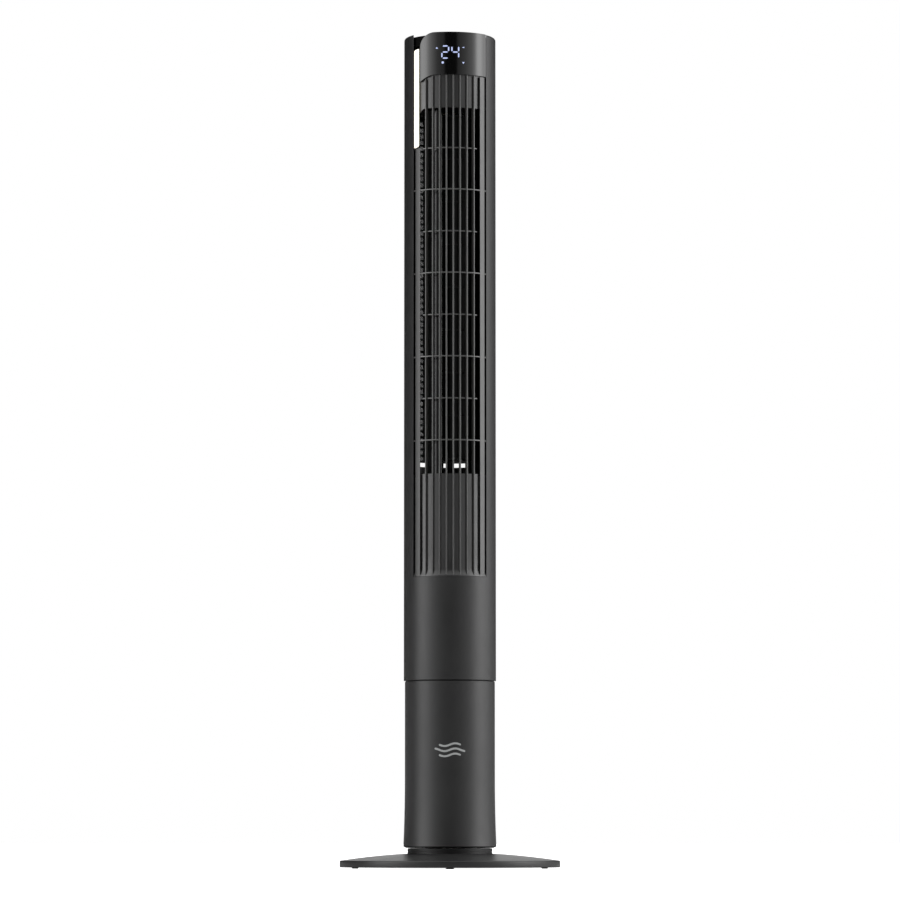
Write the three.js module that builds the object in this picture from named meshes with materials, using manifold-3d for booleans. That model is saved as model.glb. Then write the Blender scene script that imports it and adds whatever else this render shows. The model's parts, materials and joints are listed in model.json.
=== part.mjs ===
// Tower fan: a slim cross-flow fan that swings on a round domed base.
// Millimetres, +Z up. The origin is on the swing axis, at the height of the surface it stands on.
// The front of the fan, with the air outlet and the display, faces -Y.
import * as THREE from "three";
import { mergeVertices } from "three/addons/utils/BufferGeometryUtils.js";
import Module from "manifold-3d";

const wasm = await Module();
wasm.setup();

// ---------- Driving dimensions ----------
const TOTAL_HEIGHT = 1186;
const TOWER_RADIUS = 65.4; // outside of the upper housing
const COLUMN_RADIUS = 63.8; // outside of the lower column, just under the seam
const COLUMN_FLARE = 2.2; // the column's foot is this much wider
const COLUMN_UNDERCUT = 2.2; // its underside slopes up by this much
const FLARE_HEIGHT = 95;
const COLUMN_HEIGHT = 234.9;
const BASE_RADIUS = 156;
const RIM_HEIGHT = 11.4; // the base's rim
const DOME_HEIGHT = 21; // the base's top, at the neck
const NECK_RADIUS = 60;
const NECK_HEIGHT = 7.6; // the part of the neck that shows above the dome
const WALL = 2.6; // moulded shells
const PLATE = 3; // inner plates and discs
const GAP = 0.3; // between pieces that touch
const SEAM = 1.4; // shadow line between the column and the upper housing

// Front of the upper housing, from the bottom to the top
const OPENING_HALF_WIDTH = 51.6;
const SMOOTH_FRONT = 145.7; // plain shell under the grille
const LOWER_BLANK = 145; // closed stretch of the grille
const UPPER_BLANK = 46.5;
const DISPLAY_HEIGHT = 61.6;

// Grille
const BAR_PITCH = 9.86;
const BAR_THICKNESS = 2.2;
const BARS_PER_SIDE = 4;
const END_BAR_INNER = 42.5;
const END_BAR_OUTER = 49.3;
const RIB_PITCH = 59.5;
const RIB_DROP = 57.5; // from the top of the open window to the first rib
const RIB_HEIGHT = 1.8;
const BAR_DEPTH = 5;
const RAMP_HEIGHT = 9; // where the closed stretch slopes out to the shell

// Rear intake
const INTAKE_HALF_ANGLE = 80;
const INTAKE_RISE = 17.9; // from the bottom of the open window in front
const SLAT_PITCH = 26.4;
const SLAT_HEIGHT = 2.8;
const SLAT_GAP = 6; // under the lowest slat
const MULLION_ANGLES = [145, 180, 215];
const MULLION_HALF_ANGLE = 1.5;

// Display and lamp
const PANEL_LEFT = 42.5;
const PANEL_CORNER = 20;
const PANEL_SWEEP_WIDTH = 20.5; // the lower left edge sweeps down over this width
const PANEL_SWEEP_DROP = 8.7;
const LAMP_TOP_DROP = 19; // from the top of the fan
const LAMP_LENGTH = 145;
const LAMP_WIDTH = 7.7;

// Air system
const IMPELLER_RADIUS = 34;
const IMPELLER_SHIFT = 6; // the impeller's axis lies behind the swing axis
const IMPELLER_RISE = 25.6; // from the motor mount to the lowest blades
const BLADES = 10;
const BLADE_DEPTH = 9;
const BLADE_THICKNESS = 1.2;
const BLADE_SWING = 14; // degrees forward from the inner edge to the outer
const RING_PITCH = 100;
const RING_HEIGHT = 1.6;
const END_DISC = 2;
const HUB_RADIUS = 6;
const HUB_HEIGHT = 12;
const SHAFT_RADIUS = 4;
const MOTOR_RADIUS = 36;
const MOTOR_HEIGHT = 70;

// Swing drive
const MODULE = 1.5;
const SUN_TEETH = 40;
const PINION_TEETH = 10;
const TOOTH_BACKLASH = 0.2;
const GEAR_WIDTH = 6;
const POST_RADIUS = 20;
const POST_WALL = 4;
const POST_FLANGE = 12;
const SHELF_WIDTH = 13; // inside the collar, under the thrust washer
const SHELF_DROP = 2;
const SWING_MOTOR_RADIUS = 17.5;
const SWING_MOTOR_LENGTH = 15;
const LEG_SPREAD = 28; // of the bracket over the swing motor
const LEG_HALF = 4;

// Base
const FOOT_PROUD = 1.5;
const FOOT_CIRCLE = 134;
const FOOT_LENGTH = 12;
const FOOT_WIDTH = 9.3;
const FLOOR_THICKNESS = 2.2;
const WEIGHT_THICKNESS = 5;
const SCREW_CIRCLE = 142;

// Cord inlet
const GLAND_HEIGHT = 70;
const GLAND_BORE = 3.9;
const GLAND_RADIUS = 8;
const GLAND_SIDES = 16;
const GLAND_DEPTH = 8; // behind the column's inner face
const GLAND_FLANGE = 3;
const FLANGE_THICKNESS = 2;

// ---------- Heights worked out from them ----------
const NECK_TOP = DOME_HEIGHT + NECK_HEIGHT;
const COLUMN_BOTTOM = NECK_TOP + GAP;
const COLUMN_TOP = COLUMN_BOTTOM + COLUMN_HEIGHT;
const HOUSING_BOTTOM = COLUMN_TOP + SEAM;
const GRILLE_BOTTOM = HOUSING_BOTTOM + SMOOTH_FRONT;
const WINDOW_BOTTOM = GRILLE_BOTTOM + LOWER_BLANK;
const GRILLE_TOP = TOTAL_HEIGHT - DISPLAY_HEIGHT - 0.4;
const WINDOW_TOP = GRILLE_TOP - UPPER_BLANK;
const COLUMN_INSIDE = COLUMN_RADIUS - WALL;
const HOUSING_INSIDE = TOWER_RADIUS - WALL;
const TURNTABLE_BOTTOM = COLUMN_BOTTOM + GAP;
const TURNTABLE_TOP = TURNTABLE_BOTTOM + PLATE;

// ---------- Shape helpers ----------
const FACET = 7.5; // degrees per facet on the outer round walls
const INNER_SIDES = 24; // facets round a hidden part
const SMALL_SIDES = 12; // facets round a screw, stem or hole
const FAR = 400; // reaches past the whole section

// A point at a radius and a bearing: 0 is the front, 90 is +X, 180 is the rear.
function at(radius, bearing) {
  const angle = THREE.MathUtils.degToRad(bearing);
  return [radius * Math.sin(angle), -radius * Math.cos(angle)];
}

function solidOf(geometry) {
  const bare = geometry.index ? geometry.toNonIndexed() : geometry;
  bare.deleteAttribute("normal");
  bare.deleteAttribute("uv");
  const merged = mergeVertices(bare, 1e-4);
  return new wasm.Manifold(
    new wasm.Mesh({
      numProp: 3,
      vertProperties: merged.attributes.position.array,
      triVerts: new Uint32Array(merged.index.array),
    }),
  );
}

const join = (...solids) => solids.reduce((all, next) => all.add(next));
const cut = (body, ...tools) => tools.reduce((left, tool) => left.subtract(tool), body);

// An outline in X and Y, raised between two heights.
function prism(points, bottom, top) {
  const shape = new THREE.Shape(points.map(([x, y]) => new THREE.Vector2(x, y)));
  const raised = new THREE.ExtrudeGeometry(shape, { depth: top - bottom, bevelEnabled: false });
  return solidOf(raised.translate(0, 0, bottom));
}

// An outline in X and Z, seen from the front, pushed from `near` to `far` along +Y.
function frontPrism(points, near, far) {
  const shape = new THREE.Shape(points.map(([x, z]) => new THREE.Vector2(x, z)));
  const pushed = new THREE.ExtrudeGeometry(shape, { depth: far - near, bevelEnabled: false });
  return solidOf(pushed.rotateX(Math.PI / 2).translate(0, far, 0));
}

function block([x0, x1], [y0, y1], [z0, z1]) {
  const box = new THREE.BoxGeometry(x1 - x0, y1 - y0, z1 - z0);
  return solidOf(box.translate((x0 + x1) / 2, (y0 + y1) / 2, (z0 + z1) / 2));
}

// A closed profile of [radius, height] points, spun round the Z axis.
function spin(profile, sides = 360 / FACET) {
  const points = profile.map(([radius, height]) => new THREE.Vector2(radius, height));
  if (THREE.ShapeUtils.area(points) < 0) points.reverse();
  points.push(points[0].clone());
  return solidOf(new THREE.LatheGeometry(points, sides).rotateX(Math.PI / 2));
}

// A round bar or tube, with a bore where `inside` is above zero.
const tube = (inside, outside, bottom, top, sides) =>
  spin([[inside, bottom], [outside, bottom], [outside, top], [inside, top]], sides);

// The same two with fewer facets, for parts inside the fan.
const innerSpin = (profile) => spin(profile, INNER_SIDES);
const innerTube = (inside, outside, bottom, top) => tube(inside, outside, bottom, top, INNER_SIDES);
const smallTube = (inside, outside, bottom, top) => tube(inside, outside, bottom, top, SMALL_SIDES);

// The bearings of a wall's corners, on the same facets as every full circle.
function bearings(from, to, step = FACET) {
  const list = [from];
  for (let k = Math.floor(from / step) + 1; k * step < to - 1e-6; k++) list.push(k * step);
  return [...list, to];
}

// A stretch of round wall between two bearings.
function arcWall(inside, outside, from, to, bottom, top, step) {
  const stops = bearings(from, to, step);
  const outer = stops.map((bearing) => at(outside, bearing));
  const inner = stops.map((bearing) => at(inside, bearing)).reverse();
  return prism([...outer, ...inner], bottom, top);
}

// A stepped pin along +Z, such as a screw: a head and a shank.
const stepped = (headRadius, headTop, headBottom, shankRadius, shankBottom) =>
  spin(
    [
      [0, shankBottom],
      [shankRadius, shankBottom],
      [shankRadius, headBottom],
      [headRadius, headBottom],
      [headRadius, headTop],
      [0, headTop],
    ],
    SMALL_SIDES,
  );

// ---------- Materials ----------
const finish = (color, roughness, metalness = 0) =>
  new THREE.MeshStandardMaterial({ color, roughness, metalness });
const shellPlastic = finish(0x1c1d1f, 0.55);
const grillePlastic = finish(0x26272a, 0.5);
const innerPlastic = finish(0x101113, 0.6);
const displayGloss = finish(0x050607, 0.08);
const lampDiffuser = finish(0xfff0d8, 0.4);
const rubber = finish(0x0d0d0d, 0.9);
const steel = finish(0x8d9196, 0.35, 1);
const zinc = finish(0xb9bcc0, 0.3, 1);
const acetal = finish(0xe6e4dc, 0.45);
const circuitBoard = finish(0x1f5a38, 0.5);
const bronze = finish(0x9a7038, 0.4, 1);

// ---------- Groups: one for each rigid body ----------
const towerFan = new THREE.Group();
const baseGroup = new THREE.Group();
const towerGroup = new THREE.Group();
const impellerGroup = new THREE.Group();
const pinionGroup = new THREE.Group();
towerFan.add(baseGroup, towerGroup);
towerGroup.add(impellerGroup, pinionGroup);

// Adds a solid to a group as a named mesh.
function addPiece(group, name, solid, material) {
  const { vertProperties, triVerts } = solid.getMesh();
  const geometry = new THREE.BufferGeometry();
  geometry.setAttribute("position", new THREE.BufferAttribute(vertProperties, 3));
  geometry.setIndex(new THREE.BufferAttribute(triVerts, 1));
  geometry.computeVertexNormals();
  const mesh = new THREE.Mesh(geometry, material);
  mesh.name = name;
  group.add(mesh);
  return mesh;
}

// ---------- Base ----------
const FLOOR_BOTTOM = FOOT_PROUD + GAP;
const FLOOR_TOP = FLOOR_BOTTOM + FLOOR_THICKNESS;
const DOME_EDGE = BASE_RADIUS - 1;
const DOME_TOP_RADIUS = NECK_RADIUS + 6;
const domeFall = (DOME_HEIGHT - RIM_HEIGHT) / (DOME_EDGE ** 2 - DOME_TOP_RADIUS ** 2);
const domeHeight = (radius) => DOME_HEIGHT - domeFall * (radius ** 2 - DOME_TOP_RADIUS ** 2);

// Points down the dome from the neck to a radius near the rim.
function domeLine(lastRadius, offset, steps) {
  return Array.from({ length: steps + 1 }, (_, k) => {
    const radius = DOME_TOP_RADIUS + ((lastRadius - DOME_TOP_RADIUS) * k) / steps;
    return [radius, domeHeight(radius) - offset];
  });
}

const SCREW_HEAD_RADIUS = 3.6;
const SCREW_SHANK_RADIUS = 1.5;
const SCREW_CROWN = 0.8; // a head's height over its seat
const SCREW_CLEARANCE = 0.3;
const BOSS_RADIUS = 4.5;
const FOOT_STEM_RADIUS = 2.5;
const screwBearings = [45, 135, 225, 315];
const footBearings = { front: 0, right: 90, rear: 180, left: 270 };

function baseCover() {
  const holeRadius = NECK_RADIUS + GAP;
  const rimInside = BASE_RADIUS - WALL;
  const shell = spin([
    [holeRadius, DOME_HEIGHT],
    ...domeLine(DOME_EDGE, 0, 4),
    [BASE_RADIUS, RIM_HEIGHT - 1],
    [BASE_RADIUS, FLOOR_BOTTOM + 0.8],
    [BASE_RADIUS - 0.8, FLOOR_BOTTOM],
    [rimInside, FLOOR_BOTTOM],
    ...domeLine(rimInside, WALL, 2).reverse(),
    [holeRadius, DOME_HEIGHT - WALL],
  ]);
  const bosses = screwBearings.map((bearing) => {
    const bossTop = domeHeight(SCREW_CIRCLE) - WALL / 2;
    const bore = SCREW_SHANK_RADIUS + SCREW_CLEARANCE;
    const boss = smallTube(bore, BOSS_RADIUS, FLOOR_TOP + GAP, bossTop);
    return boss.translate(...at(SCREW_CIRCLE, bearing), 0);
  });
  return join(shell, ...bosses);
}

function baseFloor() {
  const plate = innerTube(12, BASE_RADIUS - WALL - GAP, FLOOR_BOTTOM, FLOOR_TOP);
  const stemHoles = Object.values(footBearings).map((bearing) =>
    smallTube(0, FOOT_STEM_RADIUS + GAP, 0, DOME_HEIGHT).translate(
      ...at(FOOT_CIRCLE, bearing),
      0,
    ),
  );
  const screwHoles = screwBearings.map((bearing) =>
    stepped(
      SCREW_HEAD_RADIUS + SCREW_CLEARANCE,
      DOME_HEIGHT,
      0,
      SCREW_SHANK_RADIUS + SCREW_CLEARANCE,
      -DOME_HEIGHT,
    )
      .rotate(180, 0, 0)
      .translate(...at(SCREW_CIRCLE, bearing), FLOOR_BOTTOM + FLOOR_THICKNESS / 2),
  );
  return cut(plate, ...stemHoles, ...screwHoles);
}

// A pad with round ends, long across the radius, on a stem that presses into the floor.
function foot() {
  const endRadius = FOOT_WIDTH / 2;
  const reach = (FOOT_LENGTH - FOOT_WIDTH) / 2;
  const rightEnd = bearings(0, 180, 30).map((bearing) => at(endRadius, bearing));
  const outline = [
    ...rightEnd.map(([x, y]) => [x + reach, y]),
    ...rightEnd.map(([x, y]) => [-x - reach, -y]),
  ];
  const stem = smallTube(0, FOOT_STEM_RADIUS, FOOT_PROUD / 2, FLOOR_TOP + 2);
  return join(prism(outline, 0, FOOT_PROUD), stem);
}

function swivelCollar() {
  const inside = NECK_RADIUS - WALL;
  const shelf = NECK_TOP - SHELF_DROP;
  const flangeTop = DOME_HEIGHT - WALL - GAP;
  return innerSpin([
    [inside, FLOOR_TOP + GAP],
    [NECK_RADIUS, FLOOR_TOP + GAP],
    [NECK_RADIUS, flangeTop - PLATE],
    [DOME_TOP_RADIUS, flangeTop - PLATE],
    [DOME_TOP_RADIUS, flangeTop],
    [NECK_RADIUS, flangeTop],
    [NECK_RADIUS, NECK_TOP],
    [inside, NECK_TOP],
    [inside, shelf],
    [inside - SHELF_WIDTH, shelf],
    [inside - SHELF_WIDTH, shelf - PLATE],
    [inside, shelf - PLATE],
  ]);
}

const SUN_BOTTOM = TURNTABLE_TOP + 2.3;
const SUN_TOP = SUN_BOTTOM + GEAR_WIDTH;
const CLIP_THICKNESS = 1.5;
const CLIP_WIDTH = 5;
const CLIP_TOP = SUN_TOP + GAP + CLIP_THICKNESS;
const POST_TOP = CLIP_TOP + 0.7;

function pivotPost() {
  const flangeTop = FLOOR_TOP + GAP + PLATE;
  return innerSpin([
    [POST_RADIUS - POST_WALL, FLOOR_TOP + GAP],
    [POST_RADIUS + POST_FLANGE, FLOOR_TOP + GAP],
    [POST_RADIUS + POST_FLANGE, flangeTop],
    [POST_RADIUS, flangeTop],
    [POST_RADIUS, POST_TOP],
    [POST_RADIUS - POST_WALL, POST_TOP],
  ]);
}

// A spur gear with short straight-sided teeth. The first tooth, or gap, faces the given bearing.
const ADDENDUM = 1;
const DEDENDUM = 1.4;
const TOOTH_SHARE = 0.4; // of the pitch, at the pitch circle
const ROOT_SPREAD = 0.16; // a tooth is wider than that at its root
const TIP_DRAW = 0.12; // and narrower at its tip

function gear(teeth, bore, startsWithGap) {
  const pitchRadius = (MODULE * teeth) / 2;
  const pitchAngle = 360 / teeth;
  const rootHalf = (pitchAngle * (TOOTH_SHARE + ROOT_SPREAD)) / 2;
  const tipHalf = (pitchAngle * (TOOTH_SHARE - TIP_DRAW)) / 2;
  const outline = [];
  for (let tooth = 0; tooth < teeth; tooth++) {
    const middle = (tooth + (startsWithGap ? 0.5 : 0)) * pitchAngle;
    outline.push(at(pitchRadius - DEDENDUM, middle - rootHalf));
    outline.push(at(pitchRadius + ADDENDUM, middle - tipHalf));
    outline.push(at(pitchRadius + ADDENDUM, middle + tipHalf));
    outline.push(at(pitchRadius - DEDENDUM, middle + rootHalf));
  }
  const blank = prism(outline, SUN_BOTTOM, SUN_TOP);
  return bore > 0 ? cut(blank, innerTube(0, bore, 0, FAR)) : blank;
}

addPiece(baseGroup, "base_cover", baseCover(), shellPlastic);
addPiece(baseGroup, "base_floor", baseFloor(), innerPlastic);
const WEIGHT_MARGIN = 7; // to the neck's flange and to the feet
const weightInside = DOME_TOP_RADIUS + WEIGHT_MARGIN;
const weightOutside = FOOT_CIRCLE - WEIGHT_MARGIN;
const weightBottom = FLOOR_TOP + GAP;
const weightTop = weightBottom + WEIGHT_THICKNESS;
const weightRing = innerTube(weightInside, weightOutside, weightBottom, weightTop);
addPiece(baseGroup, "base_weight", weightRing, steel);
addPiece(baseGroup, "swivel_collar", swivelCollar(), shellPlastic);
addPiece(baseGroup, "pivot_post", pivotPost(), acetal);
addPiece(baseGroup, "sun_gear", gear(SUN_TEETH, POST_RADIUS + GAP, false), acetal);
const clip = innerTube(POST_RADIUS + GAP, POST_RADIUS + CLIP_WIDTH, SUN_TOP + GAP, CLIP_TOP);
addPiece(baseGroup, "retaining_clip", clip, steel);
const washerInside = NECK_RADIUS - WALL - SHELF_WIDTH + 2;
const washerOutside = NECK_RADIUS - WALL - GAP;
const washerBottom = NECK_TOP - SHELF_DROP + GAP;
const washerTop = TURNTABLE_BOTTOM - GAP;
const washer = innerTube(washerInside, washerOutside, washerBottom, washerTop);
addPiece(baseGroup, "thrust_washer", washer, acetal);

for (const [side, bearing] of Object.entries(footBearings)) {
  const pad = addPiece(baseGroup, "foot_" + side, foot(), rubber);
  pad.position.set(...at(FOOT_CIRCLE, bearing), 0);
  pad.rotation.z = THREE.MathUtils.degToRad(bearing);
}

screwBearings.forEach((bearing, index) => {
  const shankEnd = domeHeight(SCREW_CIRCLE) - WALL - 2;
  const seat = FLOOR_BOTTOM + FLOOR_THICKNESS / 2 - GAP;
  const screw = stepped(SCREW_HEAD_RADIUS, SCREW_CROWN, 0, SCREW_SHANK_RADIUS, seat - shankEnd);
  const mesh = addPiece(baseGroup, "base_screw_" + (index + 1), screw, zinc);
  mesh.position.set(...at(SCREW_CIRCLE, bearing), seat);
  mesh.rotation.x = Math.PI;
});

// ---------- Turntable and swing drive ----------
const BUSH_OUTSIDE = POST_RADIUS + 3.3;
const BUSH_FLANGE = 2.7;
const PINION_DISTANCE = (MODULE * (SUN_TEETH + PINION_TEETH)) / 2 + TOOTH_BACKLASH;
const BRACKET_BOTTOM = POST_TOP + GAP;
const BRACKET_PLATE = 2;
const BRACKET_TOP = BRACKET_BOTTOM + BRACKET_PLATE;
const SWING_MOTOR_BOTTOM = BRACKET_TOP + GAP;
const PINION_SHAFT_RADIUS = 2.5;
const PINION_SHAFT_TOP = SWING_MOTOR_BOTTOM + 2;
const BRACKET_INSET = 4;

const turntable = innerTube(
  BUSH_OUTSIDE + GAP,
  COLUMN_INSIDE - GAP,
  TURNTABLE_BOTTOM,
  TURNTABLE_TOP,
);
addPiece(towerGroup, "turntable", turntable, innerPlastic);

function pivotBush() {
  return innerSpin([
    [POST_RADIUS + GAP, TURNTABLE_BOTTOM],
    [BUSH_OUTSIDE, TURNTABLE_BOTTOM],
    [BUSH_OUTSIDE, TURNTABLE_TOP + GAP],
    [BUSH_OUTSIDE + BUSH_FLANGE, TURNTABLE_TOP + GAP],
    [BUSH_OUTSIDE + BUSH_FLANGE, SUN_BOTTOM - GAP],
    [POST_RADIUS + GAP, SUN_BOTTOM - GAP],
  ]);
}
addPiece(towerGroup, "pivot_bush", pivotBush(), acetal);

// A plate over the rear half of the column, on two legs, that carries the swing motor.
function swingBracket() {
  const edge = COLUMN_INSIDE - BRACKET_INSET;
  const outline = bearings(105, 255, 2 * FACET).map((bearing) => at(edge, bearing));
  const plate = prism(outline, BRACKET_BOTTOM, BRACKET_TOP);
  const legs = [-1, 1].map((side) => {
    const x = side * LEG_SPREAD;
    const y = PINION_DISTANCE + 2;
    const spanY = [y - LEG_HALF, y + LEG_HALF];
    return block([x - LEG_HALF, x + LEG_HALF], spanY, [TURNTABLE_TOP + GAP, BRACKET_TOP]);
  });
  const hole = smallTube(0, PINION_SHAFT_RADIUS + 0.5, 0, FAR).translate(0, PINION_DISTANCE, 0);
  return cut(join(plate, ...legs), hole);
}
addPiece(towerGroup, "swing_bracket", swingBracket(), steel);

function swingMotor() {
  const bore = PINION_SHAFT_RADIUS + 0.4;
  return innerSpin([
    [0, PINION_SHAFT_TOP + 2],
    [bore, PINION_SHAFT_TOP + 2],
    [bore, SWING_MOTOR_BOTTOM],
    [SWING_MOTOR_RADIUS, SWING_MOTOR_BOTTOM],
    [SWING_MOTOR_RADIUS, SWING_MOTOR_BOTTOM + SWING_MOTOR_LENGTH],
    [0, SWING_MOTOR_BOTTOM + SWING_MOTOR_LENGTH],
  ]);
}
addPiece(towerGroup, "swing_motor", swingMotor(), zinc).position.y = PINION_DISTANCE;

const pinionShaft = smallTube(0, PINION_SHAFT_RADIUS, SUN_BOTTOM, PINION_SHAFT_TOP);
addPiece(pinionGroup, "swing_pinion", join(gear(PINION_TEETH, 0, true), pinionShaft), acetal);
pinionGroup.position.y = PINION_DISTANCE;

// ---------- Lower column ----------
function column() {
  const foot = COLUMN_RADIUS + COLUMN_FLARE;
  const tubeWall = spin([
    [COLUMN_INSIDE, COLUMN_BOTTOM],
    [foot, COLUMN_BOTTOM + COLUMN_UNDERCUT],
    [COLUMN_RADIUS + COLUMN_FLARE / 4, COLUMN_BOTTOM + FLARE_HEIGHT / 2],
    [COLUMN_RADIUS, COLUMN_BOTTOM + FLARE_HEIGHT],
    [COLUMN_RADIUS, COLUMN_TOP],
    [COLUMN_INSIDE, COLUMN_TOP],
  ]);
  const glandHole = tube(0, GLAND_RADIUS + GAP, 0, FAR, GLAND_SIDES)
    .rotate(-90, 0, 0)
    .translate(0, 0, GLAND_HEIGHT);
  return cut(tubeWall, glandHole, ...screwTools(COUPLING_SCREW_HEIGHT));
}

// The collar that lines the cord's hole. Its flange sits outside the column.
function cordGland() {
  const outside = COLUMN_RADIUS + COLUMN_FLARE;
  const inside = COLUMN_INSIDE - GLAND_DEPTH;
  return spin(
    [
      [GLAND_BORE, inside],
      [GLAND_RADIUS, inside],
      [GLAND_RADIUS, outside],
      [GLAND_RADIUS + GLAND_FLANGE, outside],
      [GLAND_RADIUS + GLAND_FLANGE, outside + FLANGE_THICKNESS],
      [GLAND_BORE, outside + FLANGE_THICKNESS],
    ],
    GLAND_SIDES,
  ).rotate(-90, 0, 0);
}

// ---------- Screws through the shells ----------
const SHELL_SCREW_HEAD = 3.5;
const SHELL_SCREW_SHANK = 1.4;
const SHELL_SCREW_BEARINGS = [165, 195];
const SHELL_SCREW_CROWN = 1.8;
const SHELL_SCREW_LENGTH = 8;
const CABLE_HOLE = 10;
const COUPLING_HALF = 25; // how far the ring reaches into the column and into the housing
const COUPLING_BOTTOM = COLUMN_TOP - COUPLING_HALF;
const COUPLING_TOP = HOUSING_BOTTOM + COUPLING_HALF;
const COUPLING_SCREW_HEIGHT = COLUMN_TOP - 12;
const HOUSING_SCREW_HEIGHT = HOUSING_BOTTOM + 13;
const CAP_DROP = 3; // the lid lies below the housing's rim
const CAP_TOP = TOTAL_HEIGHT - CAP_DROP;
const CAP_SKIRT = 15;
const CAP_SCREW_HEIGHT = CAP_TOP - CAP_SKIRT / 2;

// Turns a pin that points along +Z so that it points outwards at a bearing, at a height.
const pointOut = (pin, bearing, height) =>
  pin.rotate(90, 0, 0).rotate(0, 0, bearing).translate(0, 0, height);

// The clearance holes for a pair of screws at one height.
const screwTools = (height) =>
  SHELL_SCREW_BEARINGS.map((bearing) => {
    const hole = smallTube(0, SHELL_SCREW_HEAD + SCREW_CLEARANCE, COLUMN_INSIDE - GAP / 2, FAR);
    return pointOut(hole, bearing, height);
  });
const pilotTools = (height) =>
  SHELL_SCREW_BEARINGS.map((bearing) =>
    pointOut(
      smallTube(0, SHELL_SCREW_SHANK + SCREW_CLEARANCE, 0, FAR),
      bearing,
      height,
    ),
  );

function addShellScrews(label, height, shellInside) {
  const seat = shellInside + GAP;
  const screw = stepped(
    SHELL_SCREW_HEAD,
    SHELL_SCREW_CROWN,
    0,
    SHELL_SCREW_SHANK,
    -SHELL_SCREW_LENGTH,
  );
  SHELL_SCREW_BEARINGS.forEach((bearing, index) => {
    const name = label + "_screw_" + (index + 1);
    const mesh = addPiece(towerGroup, name, screw.rotate(90, 0, 0), zinc);
    mesh.position.set(...at(seat, bearing), height);
    mesh.rotation.z = THREE.MathUtils.degToRad(bearing);
  });
}

addPiece(towerGroup, "lower_column", column(), shellPlastic);
addPiece(towerGroup, "cord_gland", cordGland(), rubber).position.z = GLAND_HEIGHT;

// The ring that joins the column to the upper housing, with a floor that has a cable hole.
// Its shoulder rests on the column's rim, under the housing.
function couplingRing() {
  const lowOutside = COLUMN_INSIDE - GAP;
  const highOutside = HOUSING_INSIDE - GAP;
  const shoulder = COLUMN_TOP + GAP;
  const inside = lowOutside - PLATE;
  const ring = innerSpin([
    [CABLE_HOLE, COUPLING_BOTTOM],
    [lowOutside, COUPLING_BOTTOM],
    [lowOutside, shoulder],
    [highOutside, shoulder],
    [highOutside, COUPLING_TOP],
    [highOutside - PLATE, COUPLING_TOP],
    [inside, shoulder],
    [inside, COUPLING_BOTTOM + PLATE],
    [CABLE_HOLE, COUPLING_BOTTOM + PLATE],
  ]);
  return cut(ring, ...pilotTools(COUPLING_SCREW_HEIGHT), ...pilotTools(HOUSING_SCREW_HEIGHT));
}
addPiece(towerGroup, "coupling_ring", couplingRing(), innerPlastic);
addShellScrews("column", COUPLING_SCREW_HEIGHT, COLUMN_INSIDE);
addShellScrews("housing", HOUSING_SCREW_HEIGHT, HOUSING_INSIDE);
addShellScrews("cap", CAP_SCREW_HEIGHT, HOUSING_INSIDE);

// Power supply in the column: a carrier plate and a board with its large parts.
const BOARD_BOTTOM = COLUMN_BOTTOM + 75;
const BOARD_TOP = COUPLING_BOTTOM - 20;
const BOARD_THICKNESS = 1.6;
const BOARD_MARGIN = 8;
const BOARD_HALF = 36;
const CARRIER_FACE = 17;
const TRANSFORMER = { spanX: [-28, -2], low: 14, high: 40, depth: 24 };
const HEAT_SINK = { spanX: [8, 12], low: 16, high: 56, depth: 26 };
const CAPACITOR = { x: -16, height: 60, radius: 9, depth: 26 };

function powerBoard() {
  const face = CARRIER_FACE - GAP;
  const front = face - BOARD_THICKNESS;
  const boardSpan = [BOARD_BOTTOM + BOARD_MARGIN, BOARD_TOP - BOARD_MARGIN];
  const board = block([-BOARD_HALF, BOARD_HALF], [front, face], boardSpan);
  const blocks = [TRANSFORMER, HEAT_SINK].map(({ spanX, low, high, depth }) =>
    block(spanX, [front - depth, face - 1], [BOARD_BOTTOM + low, BOARD_BOTTOM + high]),
  );
  const capacitor = tube(0, CAPACITOR.radius, 0, CAPACITOR.depth, 16)
    .rotate(90, 0, 0)
    .translate(CAPACITOR.x, face - 1, BOARD_BOTTOM + CAPACITOR.height);
  return join(board, ...blocks, capacitor);
}
const carrierHalf = Math.sqrt((COLUMN_INSIDE - GAP) ** 2 - (CARRIER_FACE + PLATE) ** 2) - 0.5;
const carrierSpanY = [CARRIER_FACE, CARRIER_FACE + PLATE];
const carrier = block([-carrierHalf, carrierHalf], carrierSpanY, [BOARD_BOTTOM, BOARD_TOP]);
addPiece(towerGroup, "board_carrier", carrier, innerPlastic);
addPiece(towerGroup, "power_board", powerBoard(), circuitBoard);

// ---------- Upper housing ----------
const SPLIT = 0.15; // degrees, half of the gap between the two half shells
const openingSpan = [-OPENING_HALF_WIDTH, OPENING_HALF_WIDTH];

function frontHousing() {
  const from = -90 + SPLIT;
  const shell = arcWall(HOUSING_INSIDE, TOWER_RADIUS, from, -from, HOUSING_BOTTOM, TOTAL_HEIGHT);
  return cut(shell, block(openingSpan, [-FAR, 0], [GRILLE_BOTTOM, TOTAL_HEIGHT + 1]));
}
addPiece(towerGroup, "front_housing", frontHousing(), shellPlastic);

// The rear half shell. Its slats are level rings, tied together by upright mullions.
const INTAKE_BOTTOM = WINDOW_BOTTOM + INTAKE_RISE;
const INTAKE_TOP = WINDOW_TOP - 2;

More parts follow.
